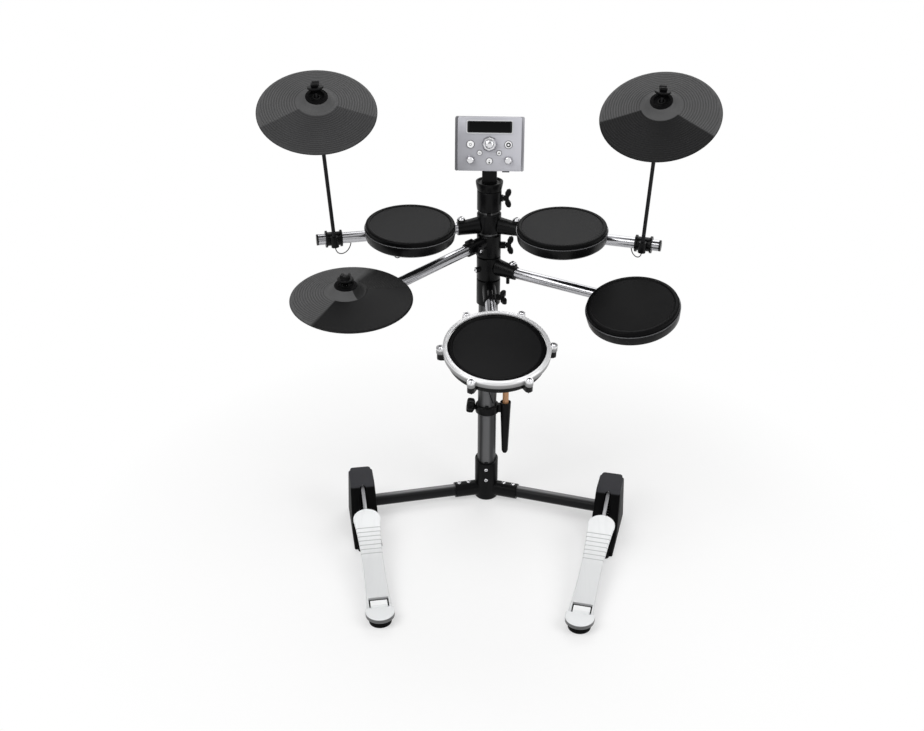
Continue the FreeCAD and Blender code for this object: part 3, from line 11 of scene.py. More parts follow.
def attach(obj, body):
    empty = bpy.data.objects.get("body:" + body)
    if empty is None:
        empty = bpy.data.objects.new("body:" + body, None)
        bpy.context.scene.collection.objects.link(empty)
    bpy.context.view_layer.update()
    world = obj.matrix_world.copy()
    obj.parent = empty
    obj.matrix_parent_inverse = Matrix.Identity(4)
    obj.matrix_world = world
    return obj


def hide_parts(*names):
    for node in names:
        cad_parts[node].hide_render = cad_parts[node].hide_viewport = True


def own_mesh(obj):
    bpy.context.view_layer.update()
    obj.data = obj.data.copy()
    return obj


bl_info = {
    "name": "Electronic Drum Kit",
    "version": (1, 0, 0),
    "blender": (4, 5, 0),
    "location": "3D View > Sidebar > Drum Kit",
    "description": "Builds the visible surfaces of a compact electronic drum kit round its packed frame",
    "category": "Object",
}

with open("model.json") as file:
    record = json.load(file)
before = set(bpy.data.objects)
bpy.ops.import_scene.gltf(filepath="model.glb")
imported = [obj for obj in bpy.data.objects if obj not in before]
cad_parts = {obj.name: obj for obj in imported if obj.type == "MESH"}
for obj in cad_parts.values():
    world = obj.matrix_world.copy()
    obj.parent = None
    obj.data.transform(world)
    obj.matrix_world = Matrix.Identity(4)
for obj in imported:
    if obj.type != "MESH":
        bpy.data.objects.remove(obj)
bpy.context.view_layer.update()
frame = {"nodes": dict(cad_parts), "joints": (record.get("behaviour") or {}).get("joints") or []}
UP = Vector((0.0, 0.0, 1.0))
SIDES = {"left": -1, "right": 1}

# Measures of the frame that the dressed pieces follow, in metres and degrees.
COLUMN_WIDTH = 0.046
HUB_FRONT = 0.0285
LEG_MIDDLE = 0.025
LEG_RADIUS = 0.015
LEG_TURN = -15.4
LEG_SOCKET_TOP = 0.0438
FOOTBOARD_SLOPE = 10.3
RIDGE_START = 0.158
RIDGE_PITCH = 0.0135
MODULE_PLACE = (0.0, -0.026, 0.9275)
MODULE_LEAN = -12.0
MODULE_WIDTH = 0.150
MODULE_HALF_HEIGHT = 0.058
FRONT_RADIUS = 0.21425
FRONT_AXIS = 0.20025
CONTROL_ACROSS = 0.547
PAD_OFFSET = 0.064
PAD_SEAT = 0.0184
TOM_ROOTS = {"left": 0.1925, "right": 0.1845}
LOW_PAD_ROOT = 0.400
LOW_PAD_BOSS_TURN = 215.0
HIHAT_ARM_TURN = 229.3
HIHAT_ARM_DROOP = 3.0
HIHAT_ARM_HEIGHT = 0.693
SNARE_LUGS = 6
SNARE_LUG_REACH = 0.1205
CUP_REACH = 0.045
CUP_TURNS = (0.0, 78.0)
CUP_TOP = 0.270
CUP_DEPTH = 0.143
HOLDER_HEIGHT = 0.2540
STICK_FOOT = 0.1337
STICK_LENGTH = 0.356

# Tilts at rest; a cymbal has its tilt, the way its top faces and the way its front points.
TOM_TILT = 5.0
LOW_PAD_TILT = 15.0
CYMBAL_TILTS = {
    "crash_left": (26.4, -80.0, -83.5),
    "crash_right": (30.0, -107.0, -103.0),
    "hihat": (7.0, -81.0, -50.0),
}


# Properties

def tint(label, text, value):
    """A colour that a user may change."""
    return FloatVectorProperty(name=label, description=text, subtype="COLOR", size=3, min=0.0, max=1.0,
                               default=value)


def length(label, text, value):
    """A length that a user may change."""
    return FloatProperty(name=label, description=text, unit="LENGTH", min=0.0, default=value)


class DrumKitColours(bpy.types.PropertyGroup):
    gloss_black: tint("Gloss black", "Fittings, hub, towers and pad shells", (0.0030, 0.0030, 0.0033))
    column_grey: tint("Column grey", "Satin steel of the column", (0.100, 0.100, 0.103))
    arm_metal: tint("Arm metal", "Bright tubes of the arms", (0.50, 0.50, 0.52))
    link_grey: tint("Link grey", "Pull links of the pedals", (0.30, 0.30, 0.31))
    tube_black: tint("Tube black", "Painted legs and cymbal rods", (0.008, 0.008, 0.009))
    # Tom, low pad and snare tops are one rubber; their different greys are painted light and shade.
    tom_top: tint("Tom top", "Rubber faces of the two toms", (0.0215, 0.0215, 0.022))
    low_pad_top: tint("Low pad top", "Rubber face of the low right pad", (0.0046, 0.0046, 0.0048))
    snare_top: tint("Snare top", "Rubber head of the snare", (0.0100, 0.0100, 0.0104))
    rubber_side: tint("Rubber side", "Side walls of the rubber pads", (0.0016, 0.0016, 0.0018))
    cymbal_bow: tint("Cymbal bow", "Grooved rubber of the cymbals", (0.082, 0.082, 0.083))
    left_sector: tint("Left sector", "Front sector of the left crash", (0.042, 0.042, 0.043))
    right_sector: tint("Right sector", "Front sector of the right crash", (0.0100, 0.0100, 0.0104))
    hihat_sector: tint("Hi-hat sector", "Front sector of the hi-hat", (0.0060, 0.0060, 0.0063))
    pedal_white: tint("Pedal white", "Footboards and heel plates", (0.72, 0.73, 0.735))
    plate_grey: tint("Plate grey", "Base plates under the footboards", (0.30, 0.31, 0.33))
    module_silver: tint("Module silver", "Painted front of the sound module", (0.50, 0.50, 0.54))
    module_dark: tint("Module dark", "Rear case of the sound module", (0.155, 0.155, 0.165))
    display_dark: tint("Display dark", "Glass of the module's display", (0.0035, 0.0037, 0.0037))
    button_white: tint("Button white", "Buttons of the sound module", (0.93, 0.94, 0.96))
    hoop_silver: tint("Hoop silver", "Snare hoop", (0.84, 0.84, 0.85))
    rim_grey: tint("Rim grey", "Thin line round the pads", (0.10, 0.10, 0.105))
    stick_wood: tint("Stick wood", "Drum sticks", (0.56, 0.29, 0.14))
    cord_black: tint("Cord black", "Thin cables", (0.012, 0.012, 0.012))
    mark_dark: tint("Mark dark", "Button marks and the display's frame", (0.006, 0.006, 0.0065))
    knob_flank: tint("Knob flank", "Shaded flanks of the plated knobs", (0.46, 0.46, 0.48))
    floor_white: tint("Floor white", "Studio floor", (0.985, 0.985, 0.985))


class DrumKitSizes(bpy.types.PropertyGroup):
    """Sizes of the details that stand on the frame."""
    edge_round: length("Edge round", "Rounding of the moulded edges", 0.0011)
    wing_round: length("Wing round", "Rounding of the wing bolts and nuts", 0.0016)
    board_round: length("Board round", "Rounding of the footboards and heel plates", 0.0009)
    groove_pitch: length("Groove pitch", "Distance between the cymbals' grooves", 0.0054)
    groove_depth: length("Groove depth", "Depth of the cymbals' grooves", 0.0006)
    washer_radius: length("Washer radius", "Felt washers on the cymbals", 0.0238)
    screw_radius: length("Screw radius", "Dome screws in the hub", 0.0043)
    socket_screw_radius: length("Socket screw radius", "Dome screws on the leg sockets", 0.0054)
    ear_screw_radius: length("Ear screw radius", "Large dome screws on the sockets' ears", 0.0080)
    tension_radius: length("Tension screw radius", "Dome screws of the snare hoop", 0.0062)
    lug_ear_radius: length("Lug ear radius", "Rounded ears of the snare hoop", 0.0086)
    holder_knob_radius: length("Holder knob radius", "Star knob of the stick holder", 0.0185)
    cord_diameter: length("Cord diameter", "Thin cables", 0.0022)


class DrumKitSettings(bpy.types.PropertyGroup):
    colours: PointerProperty(name="Colours", description="Colours of the finishes", type=DrumKitColours)
    sizes: PointerProperty(name="Sizes", description="Sizes of the details", type=DrumKitSizes)


def colours():
    return bpy.context.scene.drum_kit.colours


def sizes():
    return bpy.context.scene.drum_kit.sizes


# Node trees

class Wire:
    """A node's output that takes part in Python arithmetic; each operator adds one Math node."""

    def __init__(self, graph, socket):
        self.graph = graph
        self.socket = socket

    def math(self, operation, first, second=0.0):
        """One Math node in the wire's own tree."""
        return self.graph.node("ShaderNodeMath", {"operation": operation}, {0: first, 1: second})

    def __add__(self, other):
        return self.math("ADD", self, other)

    def __radd__(self, other):
        return self.math("ADD", other, self)

    def __sub__(self, other):
        return self.math("SUBTRACT", self, other)

    def __rsub__(self, other):
        return self.math("SUBTRACT", other, self)

    def __mul__(self, other):
        return self.math("MULTIPLY", self, other)

    def __rmul__(self, other):
        return self.math("MULTIPLY", other, self)

    def __truediv__(self, other):
        return self.math("DIVIDE", self, other)

    def __rtruediv__(self, other):
        return self.math("DIVIDE", other, self)

    def __pow__(self, other):
        return self.math("POWER", self, other)

    def __gt__(self, other):
        return self.math("GREATER_THAN", self, other)

    def __lt__(self, other):
        return self.math("LESS_THAN", self, other)

    def __abs__(self):
        return self.math("ABSOLUTE", self)

    def cosine(self):
        return self.math("COSINE", self)

    def sine(self):
        return self.math("SINE", self)

    def root(self):
        return self.math("SQRT", self)

    def fraction(self):
        return self.math("FRACT", self)

    def held(self):
        """The value kept between nought and one."""
        return self.graph.node("ShaderNodeClamp", inputs={"Value": self})


class Graph:
    """A node tree that is written as expressions."""

    def __init__(self, tree):
        self.tree = tree

    def node(self, kind, settings=None, inputs=None, output=0):
        """One node of a type: its settings first, then the values or links of its inputs."""
        made = self.tree.nodes.new(kind)
        for name, value in (settings or {}).items():
            if name == "stops":
                self.set_stops(made.color_ramp, value)
            elif name == "curve":
                self.set_curve(made.mapping, value)
            else:
                setattr(made, name, value)
        for key, value in (inputs or {}).items():
            self.feed(made.inputs[key], value)
        return Wire(self, made.outputs[output])

    def feed(self, socket, value):
        """A link, several links or a plain value into an input."""
        if isinstance(value, Wire):
            self.tree.links.new(value.socket, socket)
        elif isinstance(value, list) and value and isinstance(value[0], Wire):
            for wire in value:
                self.tree.links.new(wire.socket, socket)
        elif socket.type == "RGBA" and len(value) == 3:
            socket.default_value = (*value, 1.0)
        else:
            socket.default_value = value

    @staticmethod
    def set_stops(ramp, stops):
        while len(ramp.elements) < len(stops):
            ramp.elements.new(0.5)
        for element, (place, shade) in zip(ramp.elements, stops):
            element.position = place
            element.color = (shade, shade, shade, 1.0)

    @staticmethod
    def set_curve(mapping, points):
        line = mapping.curves[0]
        while len(line.points) < len(points):
            line.points.new(0.5, 0.5)
        for point, place in zip(line.points, points):
            point.location = place
        mapping.update()

    def inputs(self):
        """The tree's own inputs by name."""
        given = self.tree.nodes.new("NodeGroupInput")
        return {socket.name: Wire(self, socket) for socket in given.outputs}

    def parts(self, vector):
        """The three numbers of a vector."""
        first = self.node("ShaderNodeSeparateXYZ", inputs={0: vector})
        return [Wire(self, socket) for socket in first.socket.node.outputs]

    def vector(self, x, y, z):
        return self.node("ShaderNodeCombineXYZ", inputs={0: x, 1: y, 2: z})

    def spot(self):
        """Where a point of the surface is, in metres."""
        return self.node("ShaderNodeTexCoord", output="Object")

    def noise(self, place, scale, detail=3.0, rough=0.5):
        return self.node("ShaderNodeTexNoise", inputs={
            "Vector": place, "Scale": scale, "Detail": detail, "Roughness": rough})

    def steps(self, value, stops):
        """A value passed through a ramp of greys."""
        return self.node("ShaderNodeValToRGB", {"stops": stops}, {"Fac": value})

    def blend(self, share, first, second):
        """Two colours mixed by a share."""
        made = self.tree.nodes.new("ShaderNodeMix")
        made.data_type = "RGBA"
        for key, value in ((0, share), (6, first), (7, second)):
            self.feed(made.inputs[key], value)
        return Wire(self, made.outputs[2])

    def bump(self, height, strength, distance):
        return self.node("ShaderNodeBump", inputs={
            "Strength": strength, "Distance": distance, "Height": height})

    def attribute(self, name):
        """A number that the mesh carries."""
        return self.node("ShaderNodeAttribute", {"attribute_name": name}, output="Fac")


def shade(colour, factor):
    """A colour made darker or lighter."""
    return tuple(min(1.0, channel * factor) for channel in colour)


def finish(name, paint):
    """The material of a name; paint says what goes into each input of its shader."""
    label = "finish_" + name
    known = bpy.data.materials.get(label)
    if known:
        return known
    material = bpy.data.materials.new(label)
    material.use_nodes = True
    graph = Graph(material.node_tree)
    shader = material.node_tree.nodes["Principled BSDF"]
    for socket, value in paint(graph).items():
        graph.feed(shader.inputs[socket], value)
    return material


# Finishes

def surfaced(name, ground, cloud, fine, rough, relief, gloss=None, metallic=0.0):
    """A finish with soft clouds and fine relief: ground makes its colour from the place and these two,
    rough is the least roughness and its span, and relief is the strength and depth of the fine grain."""
    def paint(graph):
        spot = graph.spot()
        soft = graph.noise(spot, **cloud)
        grain = graph.noise(spot, **fine)
        lowest, span = rough
        strength, depth = relief
        inputs = {"Base Color": ground(graph, spot, soft, grain),
                  "Metallic": metallic,
                  "Roughness": soft * span + lowest,
                  "Normal": graph.bump(grain, strength, depth)}
        if gloss is not None:
            inputs["Specular IOR Level"] = gloss
        return inputs
    return finish(name, paint)


def peeled(name, ground, lowest_rough, gloss):
    """The skin of black and grey mouldings: a cloudy gloss over a fine orange peel."""
    return surfaced(name, ground, {"scale": 26.0}, {"scale": 620.0, "detail": 2.0},
                    (lowest_rough, 0.18), (0.2, 0.00004), gloss)


def moulded(name, colour, rough, gloss=0.16):
    """Moulded plastic of one colour, a little uneven."""
    def ground(graph, spot, cloud, peel):
        return graph.blend(cloud, shade(colour, 0.7), shade(colour, 1.35))
    return peeled(name, ground, rough - 0.09, gloss)


def gloss_black():
    """The black of the fittings and shells."""
    return moulded("gloss_black", colours().gloss_black, 0.30, 0.12)


def wing_black():
    """The duller black of the wing bolts and nuts."""
    return moulded("wing_black", colours().gloss_black, 0.46, 0.12)


def tower_black(top):
    """Moulded black with a painted highlight: far paler on the towers' upper slope, where it catches the
    light; top is their height.
    """
    colour = colours().gloss_black
    slope_depth = 0.0110
    fade = 0.003

    def ground(graph, spot, cloud, peel):
        z = graph.parts(spot)[2]
        # Painted highlight: the upper slope is painted many times paler than the black below it.
        painted_sheen = ((z - (top - slope_depth)) / fade).held() * (cloud * 0.2 + 0.8)
        return graph.blend(painted_sheen, shade(colour, 0.6), shade(colour, 17.0))
    return peeled("tower_black", ground, 0.40, 0.05)


def module_dark():
    """The rear case's dark plastic, painted a shade paler to the right as painted light."""
    colour = colours().module_dark

    def ground(graph, spot, cloud, peel):
        # Painted light: the case is painted paler to the right.
        across = (graph.parts(spot)[0] / MODULE_WIDTH + 0.5).held()
        return graph.blend(across * 0.9 + cloud * 0.1, shade(colour, 0.85), shade(colour, 2.4))
    return peeled("module_dark", ground, 0.34, 0.16)


def tube_black(name="tube_black", top=None):
    """Smooth black paint on a tube; top gives a level tube's middle and radius, for a painted highlight
    along its top.
    """
    colour = colours().tube_black
    highlight_grey = (0.24, 0.24, 0.245)

    def ground(graph, spot, cloud, speck):
        plain = graph.blend(cloud, shade(colour, 0.5), shade(colour, 1.1))
        if not top:
            return plain
        middle, radius = top
        # Painted highlight: the top of a level tube is painted grey, where light falls on it.
        rise = (graph.parts(spot)[2] - middle) / radius
        dust_and_highlight = graph.steps(rise, [(0.55, 0.0), (0.80, 0.06), (0.90, 0.32), (0.98, 1.0)])
        return graph.blend(dust_and_highlight, plain, highlight_grey)
    return surfaced(name, ground, {"scale": 14.0}, {"scale": 340.0, "detail": 2.0},
                    (0.26, 0.10), (0.08, 0.00003), 0.16)


def column_steel():
    """Satin steel drawn upward with long fine grain along the tube, and painted reflections: light and dark
    bands across it, black at its right edge.
    """
    def paint(graph):
        x, y, z = graph.parts(graph.spot())
        turn = x.math("ARCTAN2", y, x)
        fine = graph.noise(graph.vector(turn * 60.0, z * 1.2, 0.0), 1.0, 3.0)
        # Painted reflection: bands set across the tube by x, lighter and darker, black at the right edge.
        painted_reflection_bands = graph.steps(x / COLUMN_WIDTH + 0.5 + fine * 0.02, [
            (0.02, 0.55), (0.13, 0.36), (0.20, 0.10), (0.36, 0.96),
            (0.62, 1.0), (0.73, 0.34), (0.90, 0.48), (0.95, 0.0)])
        colour = colours().column_grey
        return {"Base Color": graph.blend(painted_reflection_bands, shade(colour, 0.12), shade(colour, 1.2)),
                "Metallic": 0.5,
                "Roughness": fine * 0.16 + 0.30,
                "Normal": graph.bump(fine, 0.08, 0.00005)}
    return finish("column_steel", paint)


def arm_chrome():
    """Bright plating with faint cloud and fine rubbing marks."""
    def paint(graph):
        spot = graph.spot()
        cloud = graph.noise(spot, 9.0)
        rub = graph.noise(spot, 260.0, 4.0)
        colour = colours().arm_metal
        return {"Base Color": graph.blend(cloud, shade(colour, 0.72), shade(colour, 1.1)),
                "Metallic": 1.0,
                "Roughness": rub * 0.08 + cloud * 0.06 + 0.12}
    return finish("arm_chrome", paint)


def screw_metal():
    """Plated steel of the screws and knobs, finely rubbed."""
    def paint(graph):
        rub = graph.noise(graph.spot(), 420.0, 3.0)
        return {"Base Color": graph.blend(rub, (0.62, 0.62, 0.64), (0.86, 0.86, 0.88)),
                "Metallic": 1.0,
                "Roughness": rub * 0.12 + 0.12}
    return finish("screw_metal", paint)


def screw_recess():
    """Painted shade: the dark of a screw's recess."""
    return moulded("screw_recess", (0.03, 0.03, 0.032), 0.5)


def rubber(name, colour, rough, gloss=0.06):
    """Dark rubber: matt, with a fine grain and soft cloudy marks."""
    def ground(graph, spot, cloud, grain):
        return graph.blend(cloud * 0.7 + grain * 0.3, shade(colour, 0.72), shade(colour, 1.3))
    return surfaced(name, ground, {"scale": 17.0, "detail": 4.0, "rough": 0.6},
                    {"scale": 1500.0, "detail": 2.0}, (rough - 0.07, 0.14), (0.12, 0.00006), gloss)


def cymbal_rubber(name, sector_colour):
    """Grooved cymbal rubber: pale bow, darker front sector, and painted shade in the grooves, at the rim,
    round the hole and in a wedge on the hi-hat.
    """
    bow = colours().cymbal_bow
    painted_shade = (0.008, 0.008, 0.008)

    def ground(graph, spot, cloud, grain):
        plain = graph.blend(cloud, shade(bow, 0.84), shade(bow, 1.2))
        front = graph.blend(cloud, shade(sector_colour, 0.84), shade(sector_colour, 1.2))
        # Painted shade: a dark wedge on the hi-hat's bow.
        shaded = graph.blend(graph.attribute("shade"), plain, shade(bow, 0.16))
        ground_with_painted_light = graph.blend(graph.attribute("sector"), shaded, front)
        # Painted shade: the grooves, the rim's edge and the bell round the hole are painted dark.
        return graph.blend(graph.attribute("groove") * 0.5, ground_with_painted_light, painted_shade)
    return surfaced(name, ground, {"scale": 13.0, "detail": 4.0, "rough": 0.6},
                    {"scale": 1300.0, "detail": 2.0}, (0.46, 0.12), (0.05, 0.00004), 0.10)


def white_plastic(name, ground):
    """The skin of the pedals' white mouldings."""
    return surfaced(name, ground, {"scale": 20.0}, {"scale": 800.0, "detail": 2.0},
                    (0.34, 0.14), (0.2, 0.00005))


def pedal_white(side, hinge, along):
    """White moulded pedal plastic: faint scuffs, a toe painted lighter as painted light, and thin lines of
    painted shade at the board's ridges.
    """
    colour = colours().pedal_white
    line_width = 0.0011
    ridged_from, ridged_to = 0.1545, 0.2425
    toe_start, toe_run = 0.14, 0.11

    def ground(graph, spot, cloud, peel):
        x, y, z = graph.parts(spot)
        reach = x * along.x + y * along.y + z * along.z - hinge.dot(along)
        step = ((reach - RIDGE_START) / RIDGE_PITCH + 0.5).fraction()
        line = (1.5 - abs(step - 0.5) * (RIDGE_PITCH / line_width)).held()
        # Painted shade: thin dark lines at the ridges stand for their shading.
        painted_shade = line * (reach > ridged_from) * (reach < ridged_to)
        scuff = graph.noise(graph.vector(x * 90.0, y * 7.0, z * 7.0), 1.0, 4.0, 0.6)
        marked = graph.steps(scuff, [(0.36, 0.0), (0.5, 1.0)])
        # Painted light: the toe is painted lighter than the rest of the board.
        painted_toe_light = ((reach - toe_start) / toe_run).held()
        plain = graph.blend(painted_toe_light * 0.9 + cloud * 0.1, shade(colour, 0.96), shade(colour, 1.28))
        ground_with_painted_light = graph.blend(marked * 0.06 + 0.94, shade(colour, 0.6), plain)
        return graph.blend(painted_shade * 0.85, ground_with_painted_light, shade(colour, 0.5))
    return white_plastic("pedal_white_" + side, ground)


def heel_white():
    """The heel plates' white, painted paler than the boards' as painted light, with a grey lower edge."""
    colour = colours().pedal_white
    edge_height = 0.0262
    fade = 0.0016

    def ground(graph, spot, cloud, peel):
        high = ((graph.parts(spot)[2] - edge_height) / fade).held()
        # Painted light: the heel plates get a paler copy of the pedal white.
        white = graph.blend(cloud, shade(colour, 1.10), shade(colour, 1.20))
        return graph.blend(high, shade(colour, 0.14), white)
    return white_plastic("heel_white", ground)


def hoop_silver(place):
    """Bright hoop metal with painted light and shade: pale on top and deeper down its flank; place is the
    snare's frame.
    """
    colour = colours().hoop_silver
    up = place.to_3x3() @ UP
    flank_foot, flank_rise = 0.020, 0.020

    def ground(graph, spot, cloud, flake):
        x, y, z = graph.parts(spot)
        level = x * up.x + y * up.y + z * up.z - place.translation.dot(up)
        # Painted light and shade: pale on the hoop's top, painted darker down its flank.
        top = graph.steps((level - flank_foot) / flank_rise, [(0.25, 0.06), (0.66, 0.20), (0.84, 1.0)])
        return graph.blend(top * 0.94 + flake * 0.06, shade(colour, 0.16), colour)
    return surfaced("hoop_silver", ground, {"scale": 16.0}, {"scale": 1800.0, "detail": 1.0},
                    (0.27, 0.10), (0.1, 0.00002), metallic=0.35)


def painted_grey(name, colour, rough, metallic):
    """Metallic paint: fine flake in an even ground."""
    def ground(graph, spot, cloud, flake):
        return graph.blend(flake * 0.6 + cloud * 0.4, shade(colour, 0.86), shade(colour, 1.14))
    return surfaced(name, ground, {"scale": 16.0}, {"scale": 2400.0, "detail": 1.0},
                    (rough - 0.05, 0.10), (0.1, 0.00002), metallic=metallic)


def module_silver():
    """Silver paint of the module's front, with fine flake and painted light: deeper to the left and paler
    to the right.
    """
    colour = colours().module_silver

    def ground(graph, spot, cloud, flake):
        # Painted light: the front is painted deeper to the left and paler to the right.
        across = (graph.parts(spot)[0] / MODULE_WIDTH + 0.5).held()
        return graph.blend(across * 0.85 + flake * 0.15, shade(colour, 0.6), shade(colour, 1.24))
    return surfaced("module_silver", ground, {"scale": 24.0}, {"scale": 2600.0, "detail": 1.0},
                    (0.30, 0.10), (0.08, 0.00002), metallic=0.25)


def display_glass():
    """Smoked glass over an unlit panel, a little paler towards the lower edge as a painted reflection."""
    def paint(graph):
        spot = graph.spot()
        display_top, fade = 0.985, 0.05
        # Painted reflection: the glass is painted paler towards its lower edge.
        low = ((display_top - graph.parts(spot)[2]) / fade).held()
        dust_and_highlight = graph.noise(spot, 150.0, 4.0)
        colour = colours().display_dark
        return {"Base Color": graph.blend(low, shade(colour, 0.8), shade(colour, 2.2)),
                "Roughness": dust_and_highlight * 0.08 + 0.14,
                "Specular IOR Level": 0.1}
    return finish("display_glass", paint)


def stick_wood():
    """Turned pale wood: long grain along the stick with fine pores."""
    def paint(graph):
        x, y, z = graph.parts(graph.spot())
        grain = graph.noise(graph.vector(x * 260.0, y * 260.0, z * 5.0), 1.0, 4.0, 0.6)
        pores = graph.noise(graph.vector(x * 1400.0, y * 1400.0, z * 40.0), 1.0, 2.0)
        colour = colours().stick_wood
        return {"Base Color": graph.blend(grain, shade(colour, 0.62), shade(colour, 1.18)),
                "Roughness": pores * 0.12 + 0.36,
                "Normal": graph.bump(pores, 0.15, 0.0001)}
    return finish("stick_wood", paint)


def cord_skin():
    """The thin cables' rubber."""
    return rubber("cord_skin", colours().cord_black, 0.5)


def spring_steel():
    """The return springs' bare steel."""
    return painted_grey("spring_steel", (0.5, 0.5, 0.52), 0.3, 0.9)


# Frames

def level_way(angle):
    """The level direction at an angle in degrees."""
    return Vector((math.cos(math.radians(angle)), math.sin(math.radians(angle)), 0.0))


def cup_axes():
    """Where the axes of the two stick cups stand."""
    return [level_way(turn) * CUP_REACH for turn in CUP_TURNS]


def joint(name):
    """The place and axis of a joint at rest."""
    found = next(entry for entry in frame["joints"] if entry["name"] == name)
    return Vector(found["pos_m"]), Vector(found["axis"])


def framed(origin, along, upward):
    """A frame whose X runs along a direction and whose Z is as near upward as it can be."""
    x = along.normalized()
    z = (upward - x * upward.dot(x)).normalized()
    y = z.cross(x)
    made = Matrix((x, y, z)).transposed().to_4x4()
    made.translation = origin
    return made


def tom_arm(side):
    """A tom's place on its arm: X outward along the arm."""
    spot, axis = joint("tom_" + side + "_tilt")
    return framed(spot, axis * SIDES[side], UP)


def tilted(arm, front_sign, tilt):
    """A pad's frame on its arm, at the middle of its underside."""
    turned_arm = arm @ Matrix.Rotation(math.radians(-front_sign * tilt), 4, "X")
    return turned_arm @ Matrix.Translation((0.0, front_sign * PAD_OFFSET, PAD_SEAT))


def cymbal_frame(name):
    """A cymbal's frame about its hole: Z out of its top and -Y to its front."""
    tilt, facing, front = CYMBAL_TILTS[name]
    centre, _ = joint(name + "_rock")
    flat = level_way(facing)
    normal = flat * math.sin(math.radians(tilt)) + UP * math.cos(math.radians(tilt))
    return framed(centre, UP.cross(flat), normal) @ Matrix.Rotation(math.radians(front - facing), 4, "Z")


def module_frame():
    """The module's frame: X right, Y to the back, Z up its face."""
    return Matrix.Translation(MODULE_PLACE) @ Matrix.Rotation(math.radians(MODULE_LEAN), 4, "X")


def on_front(across, up):
    """A frame on the module's curved front at shares of its half sizes: X right, Z straight out."""
    slope = math.asin(MODULE_HALF_HEIGHT * up / FRONT_RADIUS)
    out = Vector((0.0, -math.cos(slope), math.sin(slope)))
    spot = Vector((MODULE_WIDTH / 2 * across, FRONT_AXIS, 0.0)) + out * FRONT_RADIUS
    return module_frame() @ framed(spot, Vector((1.0, 0.0, 0.0)), out)


# Making pieces

def new_piece(name, points, faces, materials):
    """An object at the origin from points and faces."""
    mesh = bpy.data.meshes.new(name)
    mesh.from_pydata([tuple(point) for point in points], [], faces)
    for material in materials:
        mesh.materials.append(material)
    piece = bpy.data.objects.new(name, mesh)
    bpy.context.scene.collection.objects.link(piece)
    return piece


def settle(piece):
    """Turns a piece's modifiers into plain mesh."""
    bpy.context.view_layer.update()
    graph = bpy.context.evaluated_depsgraph_get()
    mesh = bpy.data.meshes.new_from_object(piece.evaluated_get(graph), preserve_all_data_layers=True,
                                           depsgraph=graph)
    old = piece.data
    piece.modifiers.clear()
    piece.data = mesh
    bpy.data.meshes.remove(old)
    return piece


def smooth(piece, angle=35.0):
    """Smooth shading that breaks at sharp edges."""
    mesh = piece.data
    mesh.polygons.foreach_set("use_smooth", [True] * len(mesh.polygons))
    mesh.set_sharp_from_angle(angle=math.radians(angle))
    return piece


def rework(piece, *steps):
    """Runs steps of mesh work on a piece."""
    sheet = bmesh.new()
    sheet.from_mesh(piece.data)
    for step in steps:
        step(sheet)
    sheet.to_mesh(piece.data)
    sheet.free()
    return piece


def merged(distance):
    """The step that joins points nearer than a distance."""
    return lambda sheet: bmesh.ops.remove_doubles(sheet, verts=sheet.verts, dist=distance)


def joined_flats(sheet):
    """The step that makes one face of each flat."""
    bmesh.ops.dissolve_limit(sheet, angle_limit=math.radians(0.6), verts=sheet.verts, edges=sheet.edges)


def faced_outward(sheet):
    """The step that turns every face outward."""
    bmesh.ops.recalc_face_normals(sheet, faces=sheet.faces)


def give(piece, body, slot, *nodes):
    """Ties a finished piece to its body and the nodes that it stands for; slot is not used."""
    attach(piece, body)
    if nodes:
        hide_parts(*nodes)
    return piece


def dress(material, *nodes):
    """A finish for nodes whose shape stays as it is."""
    for node in nodes:
        mesh = frame["nodes"][node].data
        mesh.materials.clear()
        mesh.materials.append(material)


def rounded(piece, width, segments=3, angle=30.0):
    """A piece with its sharp edges rounded off."""
    bevel = piece.modifiers.new("edges", "BEVEL")
    bevel.width = width
    bevel.segments = segments
    bevel.limit_method = "ANGLE"
    bevel.angle_limit = math.radians(angle)
    bevel.miter_outer = "MITER_ARC"
    return smooth(settle(piece))


def softened(node, body, slot, material, width, segments=3, angle=30.0, join_flats=True, form=None):
    """A node's form with its sharp edges rounded; form may move points, and flat faces are joined first."""
    source = frame["nodes"][node].data
    piece = new_piece("soft_" + node, [form(vert.co) if form else vert.co for vert in source.vertices],
                      [tuple(face.vertices) for face in source.polygons], [material])
    rework(piece, merged(0.00002), *([joined_flats] if join_flats else []))
    return give(rounded(piece, width, segments, angle), body, slot, node)


def eased(outline, radius, steps=5):
    """An outline whose inner corners are rounded off."""
    soft = [tuple(outline[0])]
    for before, corner, after in zip(outline, outline[1:], outline[2:]):
        a, b, c = Vector(before), Vector(corner), Vector(after)
        cut = min(radius, (a - b).length * 0.48, (c - b).length * 0.48)
        start = b + (a - b).normalized() * cut
        end = b + (c - b).normalized() * cut
        for i in range(steps + 1):
            t = i / steps
            soft.append(tuple(start * (1 - t) ** 2 + b * (2 * t * (1 - t)) + end * t ** 2))
    soft.append(tuple(outline[-1]))
    return soft


